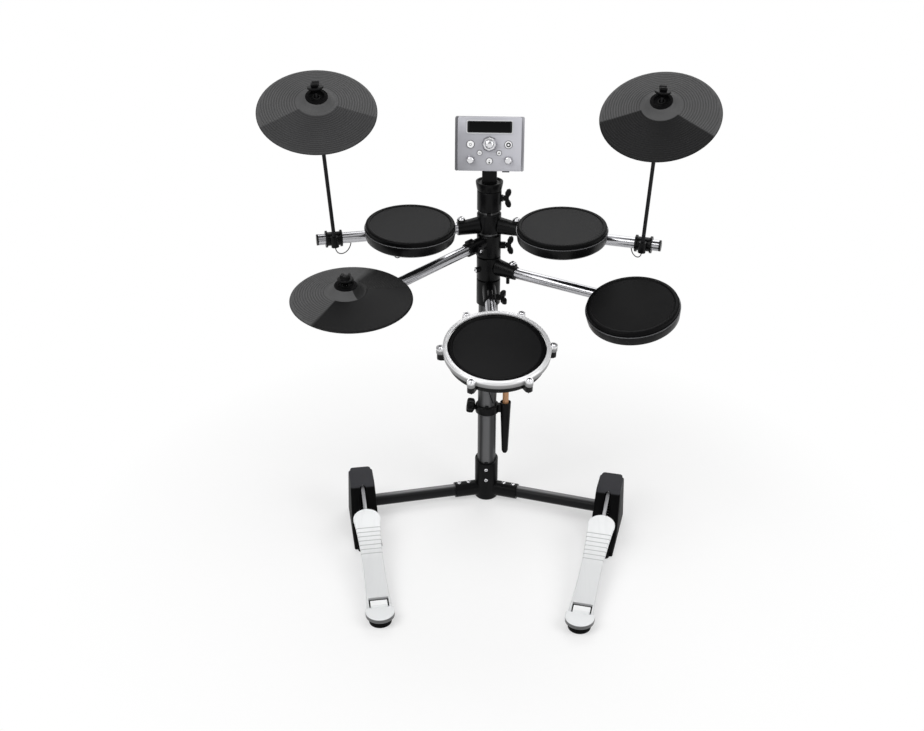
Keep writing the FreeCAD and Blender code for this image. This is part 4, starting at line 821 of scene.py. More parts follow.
def turned(name, outline, place, materials, band=None, steps=144, form=None):
    """(Radius, height) points turned round Z; band picks a run's material and form swells a radius."""
    points = []
    rings = []
    for radius, height in outline:
        count = steps if radius > 0.000001 else 1
        rings.append(range(len(points), len(points) + count))
        for i in range(count):
            around = 2 * math.pi * i / steps
            reach = radius * form(around, radius) if form else radius
            points.append(place @ Vector((reach * math.cos(around), reach * math.sin(around), height)))
    faces = []
    picks = []
    for run, (low, high) in enumerate(zip(rings, rings[1:])):
        middle = [(a + b) / 2 for a, b in zip(outline[run], outline[run + 1])]
        pick = band(*middle) if band else 0
        for i in range(steps):
            j = (i + 1) % steps
            corners = (low[i % len(low)], low[j % len(low)], high[j % len(high)], high[i % len(high)])
            corners = tuple(dict.fromkeys(corners))
            if len(corners) > 2:
                faces.append(corners)
                picks.append(pick)
    piece = new_piece(name, points, faces, materials)
    piece.data.polygons.foreach_set("material_index", picks)
    return smooth(rework(piece, merged(0.000001)))


def rounded_box(width, height, corner, level, steps=6):
    """The outline of a rounded rectangle at a level."""
    points = []
    for quarter, (right, top) in enumerate(((1, 1), (-1, 1), (-1, -1), (1, -1))):
        for i in range(steps + 1):
            angle = math.pi / 2 * (quarter + i / steps)
            points.append((right * (width / 2 - corner) + corner * math.cos(angle),
                           top * (height / 2 - corner) + corner * math.sin(angle), level))
    return points


def round_ring(radius, centre, level, steps=48):
    """A circle across X, about a centre height."""
    turns = [2 * math.pi * i / steps for i in range(steps)]
    return [(level, radius * math.cos(turn), centre + radius * math.sin(turn)) for turn in turns]


def lofted(name, rings, place, material, closed=False):
    """A skin through rings of equally many points: closed on itself, or with a lid at each end."""
    count = len(rings[0])
    points = [place @ Vector(point) for ring in rings for point in ring]
    faces = []
    for run in range(len(rings) if closed else len(rings) - 1):
        low = run * count
        high = (run + 1) % len(rings) * count
        for i in range(count):
            j = (i + 1) % count
            faces.append((low + i, low + j, high + j, high + i))
    if not closed:
        faces.append(tuple(range(count)))
        faces.append(tuple(range(len(points) - count, len(points))))
    piece = new_piece(name, points, faces, [material])
    return smooth(rework(piece, faced_outward))


def tree_of(shape, numbers):
    """The geometry tree of a shape: named number inputs, two materials, and a plain mesh at its end."""
    known = bpy.data.node_groups.get(shape.__name__)
    if known:
        return known
    tree = bpy.data.node_groups.new(shape.__name__, "GeometryNodeTree")
    sockets = [("Geometry", "INPUT", "NodeSocketGeometry")]
    sockets += [(label, "INPUT", "NodeSocketFloat") for label in numbers]
    sockets += [(label, "INPUT", "NodeSocketMaterial") for label in ("Material", "Second Material")]
    sockets += [("Geometry", "OUTPUT", "NodeSocketGeometry")]
    for label, way, kind in sockets:
        tree.interface.new_socket(label, in_out=way, socket_type=kind)
    graph = Graph(tree)
    given = graph.inputs()
    plain = graph.node("GeometryNodeRealizeInstances", inputs={0: shape(graph, given)})
    first = graph.node("GeometryNodeSetMaterial", inputs={"Geometry": plain, "Material": given["Material"]})
    marked = graph.node("GeometryNodeInputNamedAttribute", {"data_type": "BOOLEAN"}, {"Name": "recess"})
    last = graph.node("GeometryNodeSetMaterial", inputs={
        "Geometry": first, "Selection": marked, "Material": given["Second Material"]})
    graph.feed(tree.nodes.new("NodeGroupOutput").inputs[0], last)
    return tree


def grow(piece, shape, numbers, material, second=None):
    """Runs a shape's tree on a piece and keeps the plain mesh; the second material goes on recesses, as
    their painted shade.
    """
    tree = tree_of(shape, numbers)
    values = {**numbers, "Material": material, "Second Material": second or material}
    modifier = piece.modifiers.new("grow", "NODES")
    modifier.node_group = tree
    for entry in tree.interface.items_tree:
        if entry.in_out == "INPUT" and entry.name in values:
            modifier[entry.identifier] = values[entry.name]
    return settle(piece)


def dome_screws(graph, given):
    """Dome screws on points: collar, dome and a six-sided dark plug as the recess's painted shade, each
    turned the way its point says.
    """
    radius = given["Radius"]
    ball = graph.node("GeometryNodeMeshUVSphere", inputs={
        "Segments": 24, "Rings": 12, "Radius": radius * 0.92})
    dome = graph.node("GeometryNodeTransform", inputs={"Geometry": ball, "Scale": (1.0, 1.0, 0.62)})
    collar = graph.node("GeometryNodeMeshCylinder", inputs={
        "Vertices": 24, "Radius": radius, "Depth": radius * 0.36})
    plug = graph.node("GeometryNodeMeshCylinder", inputs={
        "Vertices": 6, "Radius": radius * 0.40, "Depth": radius * 0.12})
    lifted = graph.node("GeometryNodeTransform", inputs={
        "Geometry": plug, "Translation": graph.vector(0.0, 0.0, radius * 0.53)})
    marked = graph.node("GeometryNodeStoreNamedAttribute", {"data_type": "BOOLEAN", "domain": "FACE"},
                        {"Geometry": lifted, "Name": "recess", "Value": True})
    round_dome = graph.node("GeometryNodeSetShadeSmooth", inputs={0: dome, "Shade Smooth": True})
    screw = graph.node("GeometryNodeJoinGeometry", inputs={0: [round_dome, collar, marked]})
    way = graph.node("GeometryNodeInputNamedAttribute", {"data_type": "FLOAT_VECTOR"}, {"Name": "way"})
    turn = graph.node("FunctionNodeAlignRotationToVector", {"axis": "Z"}, {"Vector": way})
    return graph.node("GeometryNodeInstanceOnPoints", inputs={
        "Points": given["Geometry"], "Instance": screw, "Rotation": turn})


def screws(name, body, slot, radius, spots):
    """A group of like dome screws at (place, way out) spots of one body."""
    piece = new_piece(name, [place for place, _ in spots], [], [])
    ways = piece.data.attributes.new("way", "FLOAT_VECTOR", "POINT")
    ways.data.foreach_set("vector", [number for _, way in spots for number in way.normalized()])
    grow(piece, dome_screws, {"Radius": radius}, screw_metal(), screw_recess())
    return give(piece, body, slot)


def hoop_lugs(graph, given):
    """Rounded lugs on points: a round post and the web behind it, each turned the way its point says."""
    radius = given["Radius"]
    post = graph.node("GeometryNodeMeshCylinder", inputs={
        "Vertices": 32, "Radius": radius, "Depth": given["Height"]})
    size = graph.vector(given["Web"], radius * 2.0, given["Height"])
    block = graph.node("GeometryNodeMeshCube", inputs={"Size": size})
    web = graph.node("GeometryNodeTransform", inputs={
        "Geometry": block, "Translation": graph.vector(given["Web"] * -0.5, 0.0, 0.0)})
    lug = graph.node("GeometryNodeMeshBoolean", {"operation": "UNION", "solver": "EXACT"},
                     {"Mesh 2": [post, web]})
    turn = graph.node("GeometryNodeInputNamedAttribute", {"data_type": "QUATERNION"}, {"Name": "turn"})
    return graph.node("GeometryNodeInstanceOnPoints", inputs={
        "Points": given["Geometry"], "Instance": lug, "Rotation": turn})


def cymbal_pad(graph, given):
    """A cymbal pad: a polar sheet from its hole to an off-centre rim, with grooves, a sector and marks for
    painted shade.
    """
    upper_share = 0.8
    line = [(0.0, 0.9), (0.147, 0.892), (0.170, 0.82), (0.193, 0.68), (0.232, 0.50), (0.268, 0.400),
            (0.305, 0.366), (1.0, 0.018)]
    line_reach, line_rise, line_foot = 0.15, 0.025, 0.02
    rim_round = 0.004
    groove_start = 0.0435
    groove_end = 0.0055
    sector_start = 0.0420
    rim_dark = 0.0022
    hole_dark = 0.0095
    grid = graph.node("GeometryNodeMeshGrid", inputs={
        "Size X": 1.0, "Size Y": 1.0, "Vertices X": 181, "Vertices Y": 221})
    x, y, _ = graph.parts(graph.node("GeometryNodeInputPosition"))
    turn = x * (-2 * math.pi)
    along = y + 0.5
    side = turn.sine() * given["Offset"]
    rim = turn.cosine() * given["Offset"] + (given["Radius"] * given["Radius"] - side * side).root()
    over = (along / upper_share).held()
    below = ((along - upper_share) / (1.0 - upper_share)).held()
    under = below > 0.0001
    hole = given["Hole"]
    reach = hole + (rim - hole) * (over - below)
    profile = graph.node("ShaderNodeFloatCurve", {"curve": line}, {"Value": reach / line_reach})
    height = profile * line_rise - line_foot
    near = ((reach - rim + rim_round) / rim_round).held()
    fall = near * near * given["Thickness"] * 0.4
    opening = ((reach - groove_start) / 0.002).held()
    closing = ((rim - groove_end - reach) / 0.0015).held()
    band = opening * closing * (1.0 - under)
    wave = ((reach - groove_start) * (2 * math.pi) / given["Groove Pitch"]).cosine() * -0.5 + 0.5
    edge = (given["Sector Half"] - abs(turn - given["Sector Middle"])) * reach
    sector = (edge / 0.0014 + 0.5).held() * ((reach - sector_start) / 0.0015).held() * (1.0 - under)
    # Painted shade: a wedge of the hi-hat's bow from its sector round to the shade turn.
    shaded = ((given["Shade Turn"] - turn) / 0.2 + 0.5).held() * (turn > 0.0) * (1.0 - under)
    # Painted shade along the rim's edge and round the hole.
    rim_shade = ((reach - rim + rim_dark) / rim_dark).held() * 1.7
    hole_shade = ((hole_dark - reach) / 0.001).held() * 1.9
    groove = wave ** 2.5 * band * (1.0 - sector * given["Sector Plain"])
    last = along > 0.9995
    level = height - fall * (1.0 - under * 2.0) - under * given["Thickness"] + last * given["Thickness"]
    level = level - groove * given["Groove Depth"] + sector * (1.0 - near) * given["Sector Rise"]
    sheet = grid
    # The groove mark carries the grooves' painted shade and that of the rim and the hole.
    marks = {"sector": sector, "shade": shaded, "groove": groove + (rim_shade + hole_shade)}
    for name, value in marks.items():
        sheet = graph.node("GeometryNodeStoreNamedAttribute", {"data_type": "FLOAT", "domain": "POINT"},
                           {"Geometry": sheet, "Name": name, "Value": value})
    angle = turn - math.pi / 2
    spot = graph.vector(reach * angle.cosine(), reach * angle.sine(), level)
    moved = graph.node("GeometryNodeSetPosition", inputs={"Geometry": sheet, "Position": spot})
    return graph.node("GeometryNodeMergeByDistance", inputs={"Geometry": moved, "Distance": 0.00001})


# Operators

class DRUMKIT_OT_stand(bpy.types.Operator):
    """Finishes the hub, the column and the legs and sets the hub's screws"""
    bl_idname = "drumkit.stand"
    bl_label = "Stand"

    def execute(self, context):
        softened("base_hub", "stand", "black_plastic", gloss_black(), sizes().edge_round)
        dress(column_steel(), "column_tube")
        dress(tube_black("leg_black", (LEG_MIDDLE, LEG_RADIUS)), "leg_tubes")
        front = Vector((0.0, -1.0, 0.0))
        spots = [(front * HUB_FRONT + UP * height, front) for height in (0.060, 0.090)]
        screws("hub_screws", "stand", "arm_chrome", sizes().screw_radius, spots)
        spots = []
        for sign in SIDES.values():
            way = level_way(LEG_TURN)
            way.x *= sign
            for reach in (0.046, 0.070):
                spots.append((way * reach + UP * LEG_SOCKET_TOP, UP))
        screws("leg_screws", "stand", "arm_chrome", sizes().socket_screw_radius, spots)
        return {"FINISHED"}


class DRUMKIT_OT_pedals(bpy.types.Operator):
    """Finishes the towers, the footboards, the heel plates and the links"""
    bl_idname = "drumkit.pedals"
    bl_label = "Pedals"

    def execute(self, context):
        board_round = sizes().board_round
        top = max(vert.co.z for vert in frame["nodes"]["pedal_towers"].data.vertices)
        softened("pedal_towers", "stand", "black_plastic", tower_black(top), 0.002, 4)
        softened("heel_plates", "stand", "white_plastic", heel_white(), board_round)
        foot = rubber("foot_rubber", colours().rubber_side, 0.6)
        softened("heel_feet", "stand", "pad_rubber", foot, 0.0012)
        plate = painted_grey("plate_grey", colours().plate_grey, 0.4, 0.6)
        softened("base_plates", "stand", "grey_metal", plate, 0.0006, 2)
        steel = painted_grey("link_grey", colours().link_grey, 0.34, 0.6)
        black = moulded("notch_black", colours().mark_dark, 0.6)
        # Painted light: the tongue pads get a paler copy of the pedal white.
        tongue_white = painted_grey("tongue_white", shade(colours().pedal_white, 1.3), 0.4, 0.0)
        slope = math.radians(FOOTBOARD_SLOPE)
        for side in SIDES:
            board = "footboard_" + side
            link = "pull_link_" + side
            spot, axis = joint(board + "_press")
            forward = UP.cross(axis * -1.0)
            along = forward * math.cos(slope) + UP * math.sin(slope)
            white = pedal_white(side, spot, along)
            softened(board, board, "white_plastic", white, 0.0005, 2, join_flats=False)
            softened(link, link, "arm_chrome", steel, 0.0007, 2)
            place = framed(spot, along, UP)
            # Painted shade: a black slab under the board's hinge end stands for the shade in the notch.
            levels = (-0.0045, -0.0014)
            floor = self.slab("notch_floor_" + side, place, 0.0160, 0.0446, levels, black)
            give(floor, board, "dark_plastic")
            levels = (0.0005, 0.0036, 0.0042)
            tongue = self.slab("tongue_pad_" + side, place, 0.0083, 0.0372, levels, tongue_white)
            give(tongue, "stand", "white_plastic")
            ground = framed(Vector((spot.x, spot.y, 0.0)), forward, UP)
            self.cheeks(side, ground, tower_black(top))
            self.spring(side)
        return {"FINISHED"}

    @staticmethod
    def slab(name, board, reach, width, levels, material):
        """A thin slab across the hinge end of a board, at a reach from its hinge and through levels."""
        depth, corner = 0.0185, 0.001
        rings = [rounded_box(depth, width, corner, level) for level in levels]
        return lofted(name, rings, board @ Matrix.Translation((reach, 0.0, 0.0)), material)

    @staticmethod
    def half_of(node, side):
        """The points of a pair of solids that lie on one side."""
        return [vert.co for vert in frame["nodes"][node].data.vertices if vert.co.x * SIDES[side] > 0.0]

    def cheeks(self, side, floor, material):
        """Moulded cheeks on both flanks of a tower, along its own outline and fuller towards the floor."""
        points = [floor.inverted() @ point for point in self.half_of("pedal_towers", side)]
        front = min(point.x for point in points)
        back = max(point.x for point in points) - 0.008
        half = max(point.y for point in points)
        top = max(point.z for point in points) - 0.0002
        toe = front + 0.010
        foot = 0.0005
        outline = eased([(toe, foot), (toe, 0.0130), (front + 0.059, 0.0130), (front + 0.083, 0.0330),
                         (front + 0.123, top - 0.006), (front + 0.136, top), (back, top), (back, foot)],
                        0.010)
        for flank, sign in (("inner", SIDES[side]), ("outer", -SIDES[side])):
            rings = [[(along, sign * (half - 0.004), up) for along, up in outline],
                     [(along, sign * (half + 0.0080 - 0.0040 * up / top), up) for along, up in outline]]
            piece = lofted("tower_cheek_" + side + "_" + flank, rings, floor, material)
            give(rounded(piece, 0.0042, 4, 50.0), "stand", "black_plastic")

    def spring(self, side):
        """A wound return spring in the place of the frame's spring, fixed to the stand."""
        points = self.half_of("pedal_springs", side)
        low, high = (pick(point.z for point in points) for pick in (min, max))
        across = [point.x for point in points]
        along = [point.y for point in points]
        foot = Vector(((min(across) + max(across)) / 2, (min(along) + max(along)) / 2, low))
        wire = 0.0008
        radius = (max(across) - min(across)) / 2 - wire
        turns = 11
        steps = 24
        section = [2 * math.pi * i / 10 for i in range(10)]
        rings = []
        for i in range(turns * steps + 1):
            turn = 2 * math.pi * i / steps
            share = min(1.0, max(0.0, (i / steps - 1.0) / (turns - 2.0)))
            level = wire + share * (high - low - 2 * wire)
            out = Vector((math.cos(turn), math.sin(turn), 0.0))
            rings.append([out * (radius + wire * math.cos(around)) + UP * (level + wire * math.sin(around))
                          for around in section])
        coil = lofted("return_spring_" + side, rings, Matrix.Translation(foot), spring_steel())
        give(coil, "stand", "spring_steel", "pedal_springs")
        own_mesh(coil)


class DRUMKIT_OT_fittings(bpy.types.Operator):
    """Finishes the sleeves, the arms, the clamps and the rods, and sets the socket screws"""
    bl_idname = "drumkit.fittings"
    bl_label = "Column fittings"

    def execute(self, context):
        black = gloss_black()
        carriers = {"module_sleeve": "module_holder", "module_neck": "module_holder",
                    "tom_bracket": "tom_bracket", "arm_clamps_and_caps": "tom_bracket",
                    "hihat_sleeve": "hihat_holder", "pad_sleeve": "pad_holder",
                    "snare_sleeve": "snare_holder"}
        for node, body in carriers.items():
            softened(node, body, "black_plastic", black, sizes().edge_round)
        for bolt in ("module_wing_bolt", "hihat_wing_bolt", "snare_wing_bolt"):
            softened(bolt, bolt, "black_plastic", wing_black(), sizes().wing_round)
        dress(arm_chrome(), "tom_arms", "hihat_arm", "pad_arm", "snare_arm")
        dress(tube_black(), "crash_left_rod", "crash_right_rod", "hihat_rod")
        radius = sizes().ear_screw_radius
        ears = []
        for side, reach in TOM_ROOTS.items():
            root = tom_arm(side) @ Matrix.Translation((-reach, 0.0, 0.0))
            ears.append(self.ear(root))
            self.flare("tom_flare_" + side, "tom_bracket", root)
        screws("tom_socket_screws", "tom_bracket", "arm_chrome", radius, ears)
        spot, axis = joint("pad_tilt")
        pad_arm = framed(spot, axis, UP) @ Matrix.Translation((-LOW_PAD_ROOT, 0.0, 0.0))
        self.flare("pad_flare", "pad_holder", pad_arm)
        outline = eased([(0.0, -0.0305), (0.0040, -0.0305), (0.0040, -0.0120), (0.0, -0.0120)], 0.001)
        pin_place = pad_arm @ Matrix.Translation((0.052, 0.0, 0.0))
        pin = turned("pad_clamp_pin", outline, pin_place, [black], steps=32)
        give(pin, "pad_holder", "black_plastic")
        boss_way = level_way(LOW_PAD_BOSS_TURN)
        boss = (boss_way * 0.0351 + UP * 0.62633, boss_way)
        screws("pad_socket_screw", "pad_holder", "arm_chrome", radius, [self.ear(pad_arm)])
        screws("pad_boss_screw", "pad_holder", "arm_chrome", 0.0052, [boss])
        droop = math.radians(HIHAT_ARM_DROOP)
        way = level_way(HIHAT_ARM_TURN) * math.cos(droop) - UP * math.sin(droop)
        hihat_arm = framed(UP * HIHAT_ARM_HEIGHT, way, UP)
        knob = (hihat_arm @ Vector((0.057, 0.0275, 0.0)), hihat_arm.to_3x3() @ Vector((0.0, 1.0, 0.0)))
        screws("hihat_knob_screw", "hihat_holder", "arm_chrome", 0.0036, [knob])
        return {"FINISHED"}

    @staticmethod
    def ear(root):
        """The screw on top of a socket's ear; the arm's frame stands on the column's axis."""
        return root @ Vector((0.0645, 0.0, 0.0224)), root.to_3x3() @ UP

    @staticmethod
    def flare(name, body, root):
        """The moulded swelling of a socket towards its sleeve, fuller above than below."""
        rings = []
        for share in (0.0, 0.2, 0.4, 0.6, 0.8, 1.0):
            swelling = 0.0158 + 0.0036 * share ** 1.5
            rings.append(round_ring(swelling, 0.0040 * share, 0.0700 - 0.0450 * share))
        give(lofted(name, rings, root, gloss_black()), body, "black_plastic")


class DRUMKIT_OT_module(bpy.types.Operator):
    """Finishes the sound module: cases, display, dial, knobs, buttons and rear screws"""
    bl_idname = "drumkit.module"
    bl_label = "Sound module"

    def execute(self, context):
        place = module_frame()
        softened("module_front", "module", "silver_plastic", module_silver(), 0.0009)
        softened("module_rear", "module", "dark_plastic", module_dark(), 0.0016)
        dress(display_glass(), "display_window")
        self.knobs()
        white = painted_grey("button_white", colours().button_white, 0.32, 0.0)
        dark = moulded("mark_dark", colours().mark_dark, 0.4)
        buttons = {"left": (-CONTROL_ACROSS, 0.0, 0.0078), "right": (CONTROL_ACROSS, 0.0, 0.0078),
                   "minus": (-0.28, -0.31, 0.0050), "plus": (0.28, -0.31, 0.0050),
                   "play": (0.0, -0.62, 0.0066)}
        for name, (across, up, radius) in buttons.items():
            softened("button_" + name, "button_" + name, "silver_plastic", white, 0.0008)
            # Painted shadow: a dark ring round each button stands for the shade in the gap round it.
            inner = radius + 0.0002
            low, high = -0.0004, 0.0005
            outer = radius + 0.0011
            line = [(inner, low), (outer, low), (outer - 0.0002, high), (inner, high), (inner, low)]
            rim = turned("rim_" + name, line, on_front(across, up), [dark], steps=64)
            give(rim, "module", "dark_plastic")
        self.marks(buttons, dark)
        # Painted highlight: a thin pale outline round the display stands for the bezel's lit edge.
        pale = painted_grey("outline_grey", shade(colours().button_white, 0.6), 0.34, 0.0)
        self.display_frame(dark, pale)
        tab = [rounded_box(0.016, 0.012, 0.0015, level) for level in (-0.0612, -0.0605, -0.0570)]
        cover = lofted("jack_cover", tab, place @ Matrix.Translation((0.036, 0.006, 0.0)), dark)
        give(cover, "module", "dark_plastic")
        back = place.to_3x3() @ Vector((0.0, 1.0, 0.0))
        case_back = 0.0239
        spots = [(place @ Vector((across, case_back, up)), back)
                 for across in (-0.06, 0.06) for up in (-0.040, 0.034)]
        screws("module_rear_screws", "module", "arm_chrome", sizes().screw_radius * 0.8, spots)
        return {"FINISHED"}

    @staticmethod
    def knobs():
        """The eight-sided dial with its dome and the two fluted knobs."""
        # Painted shade: the knobs' flanks and the dial's groove take a darker copy of the plating.
        finishes = [screw_metal(), painted_grey("knob_flank", colours().knob_flank, 0.26, 0.9)]
        sides = 8
        flutes = 10
        flute_depth = 0.08
        flat = math.pi / sides

        def eight_sided(around, radius):
            corner = math.cos(flat) / math.cos(around % (2 * flat) - flat)
            return corner if radius > 0.0122 else 1.0

        def fluted(around, radius):
            flute = 0.5 + 0.5 * math.cos(flutes * around)
            return 1.0 - flute_depth * flute if radius > 0.0060 else 1.0

        def dial_band(radius, height):
            in_groove = 0.0117 < height < 0.0124 and radius < 0.0098
            return 1 if 0.0030 < height < 0.0110 or in_groove else 0

        def knob_band(radius, height):
            return 1 if 0.0028 < height < 0.0088 else 0

        foot = 0.0009
        dial = [(0.0, foot), (0.0172, foot), (0.0172, 0.0026), (0.0160, 0.0040), (0.0150, 0.0104),
                (0.0130, 0.0124), (0.0100, 0.0126), (0.0090, 0.0117), (0.0080, 0.0126), (0.0052, 0.0138),
                (0.0, 0.0141)]
        piece = turned("dial", dial, on_front(0.0, 0.026), finishes, dial_band, 96, eight_sided)
        give(piece, "main_dial", "arm_chrome", "main_dial")
        knob = eased([(0.0, foot), (0.0096, foot), (0.0096, 0.0026), (0.0086, 0.0034), (0.0080, 0.0092),
                      (0.0062, 0.0108), (0.0, 0.0111)], 0.0008, 3)
        for name, across in (("volume_knob", -CONTROL_ACROSS), ("tempo_knob", CONTROL_ACROSS)):
            place = on_front(across, -0.56)
            piece = turned("fluted_" + name, knob, place, finishes, knob_band, 120, fluted)
            give(piece, name, "arm_chrome", name)

    @staticmethod
    def marks(buttons, dark):
        """Plain marks on the buttons: rings, dashes and a dot."""
        low, high = 0.0028, 0.0032

        def on_button(name, rise=0.0):
            across, up, _ = buttons[name]
            return on_front(across, up) @ Matrix.Translation((0.0, rise, 0.0))

        def ring(name, button, inner, outer, steps, rise=0.0):
            line = [(inner, low), (outer, low), (outer, high), (inner, high), (inner, low)]
            piece = turned(name, line, on_button(button, rise), [dark], steps=steps)
            give(piece, "button_" + button, "dark_plastic")

        def dash(name, button, width, height):
            rings = [rounded_box(width, height, 0.0004, level) for level in (low, high)]
            give(lofted(name, rings, on_button(button), dark), "button_" + button, "dark_plastic")

        ring("mark_left", "left", 0.0022, 0.0031, 5)
        ring("mark_right", "right", 0.0024, 0.0050, 32)
        ring("mark_play", "play", 0.0, 0.0019, 32, -0.0026)
        ring("mark_step", "play", 0.0013, 0.0020, 3, 0.0020)
        dash("mark_minus", "minus", 0.0046, 0.0011)
        dash("mark_plus", "plus", 0.0046, 0.0011)
        dash("mark_plus_upright", "plus", 0.0011, 0.0046)

    @staticmethod
    def display_frame(dark, pale):
        """The display's black frame with rounded corners inside a thin pale outline, a painted highlight
        along the bezel's edge.
        """
        place = on_front(0.0, 0.638)
        for name, outer, inner, corner, top, finish_of in (
                ("display_frame", (0.0970, 0.0252), (0.0878, 0.0208), 0.0032, 0.0017, dark),
                ("display_outline", (0.1012, 0.0294), (0.0964, 0.0246), 0.0046, 0.0015, pale)):
            foot = -0.0005
            chamfer = 0.0004
            inner_corner = corner * 0.6
            shoulder = [side - 2 * chamfer for side in outer]
            rings = [rounded_box(*outer, corner, foot), rounded_box(*outer, corner, top - chamfer),
                     rounded_box(*shoulder, corner, top), rounded_box(*inner, inner_corner, top),
                     rounded_box(*inner, inner_corner, foot)]
            give(lofted(name, rings, place, finish_of, True), "module", "dark_plastic")


class DRUMKIT_OT_pads(bpy.types.Operator):
    """Makes the rubber tops of the two toms and the low pad and finishes their shells"""
    bl_idname = "drumkit.pads"
    bl_label = "Pads"

    def execute(self, context):
        # Painted light: the toms' rubber is a lighter copy of the low pad's rubber.
        for side, sign in SIDES.items():
            place = tilted(tom_arm(side), -sign, TOM_TILT)
            self.pad("tom_" + side, place, rubber("tom_top", colours().tom_top, 0.55))
        spot, axis = joint("pad_tilt")
        place = tilted(framed(spot, axis, UP), -1, LOW_PAD_TILT)
        self.pad("pad", place, rubber("low_pad_top", colours().low_pad_top, 0.55))
        return {"FINISHED"}

    @staticmethod
    def pad(name, place, face):
        """One pad, named as its body is: shell, thin rim line and crowned rubber with a raised lip."""
        softened(name + "_shell", name, "black_plastic", gloss_black(), 0.0012)
        outline = eased([(0.0, 0.022), (0.0973, 0.022), (0.0973, 0.0352), (0.0925, 0.0366),
                         (0.0886, 0.0362), (0.0872, 0.0345), (0.0, 0.0349)], 0.0036, 8)
        side = rubber("pad_side", colours().rubber_side, 0.42)
        top = turned(name + "_top", outline, place, [face, side],
                     lambda radius, height: 0 if height > 0.0338 and radius < 0.0874 else 1)
        give(top, name, "pad_rubber", name + "_rubber")
        line = eased([(0.0976, 0.0255), (0.0999, 0.0255), (0.1001, 0.0262), (0.0995, 0.0266),
                      (0.0976, 0.0266), (0.0976, 0.0255)], 0.0004, 3)
        grey = painted_grey("rim_grey", colours().rim_grey, 0.3, 0.3)
        give(turned(name + "_rim_line", line, place, [grey]), name, "black_plastic")


class DRUMKIT_OT_snare(bpy.types.Operator):
    """Makes the snare's head and tension screws and finishes its hoop and shell"""
    bl_idname = "drumkit.snare"
    bl_label = "Snare"

    def execute(self, context):
        spot, axis = joint("snare_roll")
        place = framed(spot, axis, UP) @ Matrix.Translation((0.0, 0.0, PAD_SEAT))
        softened("snare_shell", "snare", "black_plastic", gloss_black(), 0.0012)
        hoop = hoop_silver(place)
        softened("snare_hoop", "snare", "hoop_silver", hoop, 0.0011)
        outline = eased([(0.0, 0.030), (0.1059, 0.030), (0.1059, 0.0352), (0.1010, 0.0366),
                         (0.0956, 0.0364), (0.0942, 0.0344), (0.0, 0.0348)], 0.0022, 6)
        # Painted shade: the snare's rubber is a darker copy of the toms' rubber.
        face = rubber("snare_top", colours().snare_top, 0.5)
        side = rubber("pad_side", colours().rubber_side, 0.42)
        head = turned("snare_head_top", outline, place, [face, side],
                      lambda radius, height: 0 if radius < 0.0944 else 1)
        give(head, "snare", "pad_rubber", "snare_head")
        radius = sizes().lug_ear_radius
        spots = []
        tops = []
        blocks = []
        for i in range(SNARE_LUGS):
            turn = place @ Matrix.Rotation(math.radians(360.0 / SNARE_LUGS * i + 90.0), 4, "Z")
            spots.append((turn @ Vector((SNARE_LUG_REACH, 0.0, 0.0396)), turn.to_3x3() @ UP))
            tops.append(turn @ Matrix.Translation((SNARE_LUG_REACH, 0.0, 0.0319)))
            blocks.append(turn @ Matrix.Translation((0.1190, 0.0, 0.0168)))
        self.lugs("hoop_ears", "hoop_silver", radius, 0.0140, 0.0085, tops, hoop)
        self.lugs("lug_blocks", "black_plastic", radius, 0.0156, 0.0125, blocks, gloss_black())
        screws("tension_screws", "snare", "arm_chrome", sizes().tension_radius, spots)
        return {"FINISHED"}

    @staticmethod
    def lugs(name, slot, radius, height, web, places, material):
        """Like lugs round the snare at their places."""
        piece = new_piece(name, [place.translation for place in places], [], [])
        turns = piece.data.attributes.new("turn", "QUATERNION", "POINT")
        turns.data.foreach_set("value", [number for place in places for number in place.to_quaternion()])
        grow(piece, hoop_lugs, {"Radius": radius, "Height": height, "Web": web}, material)
        give(rounded(piece, 0.0018, 3, 40.0), "snare", slot)


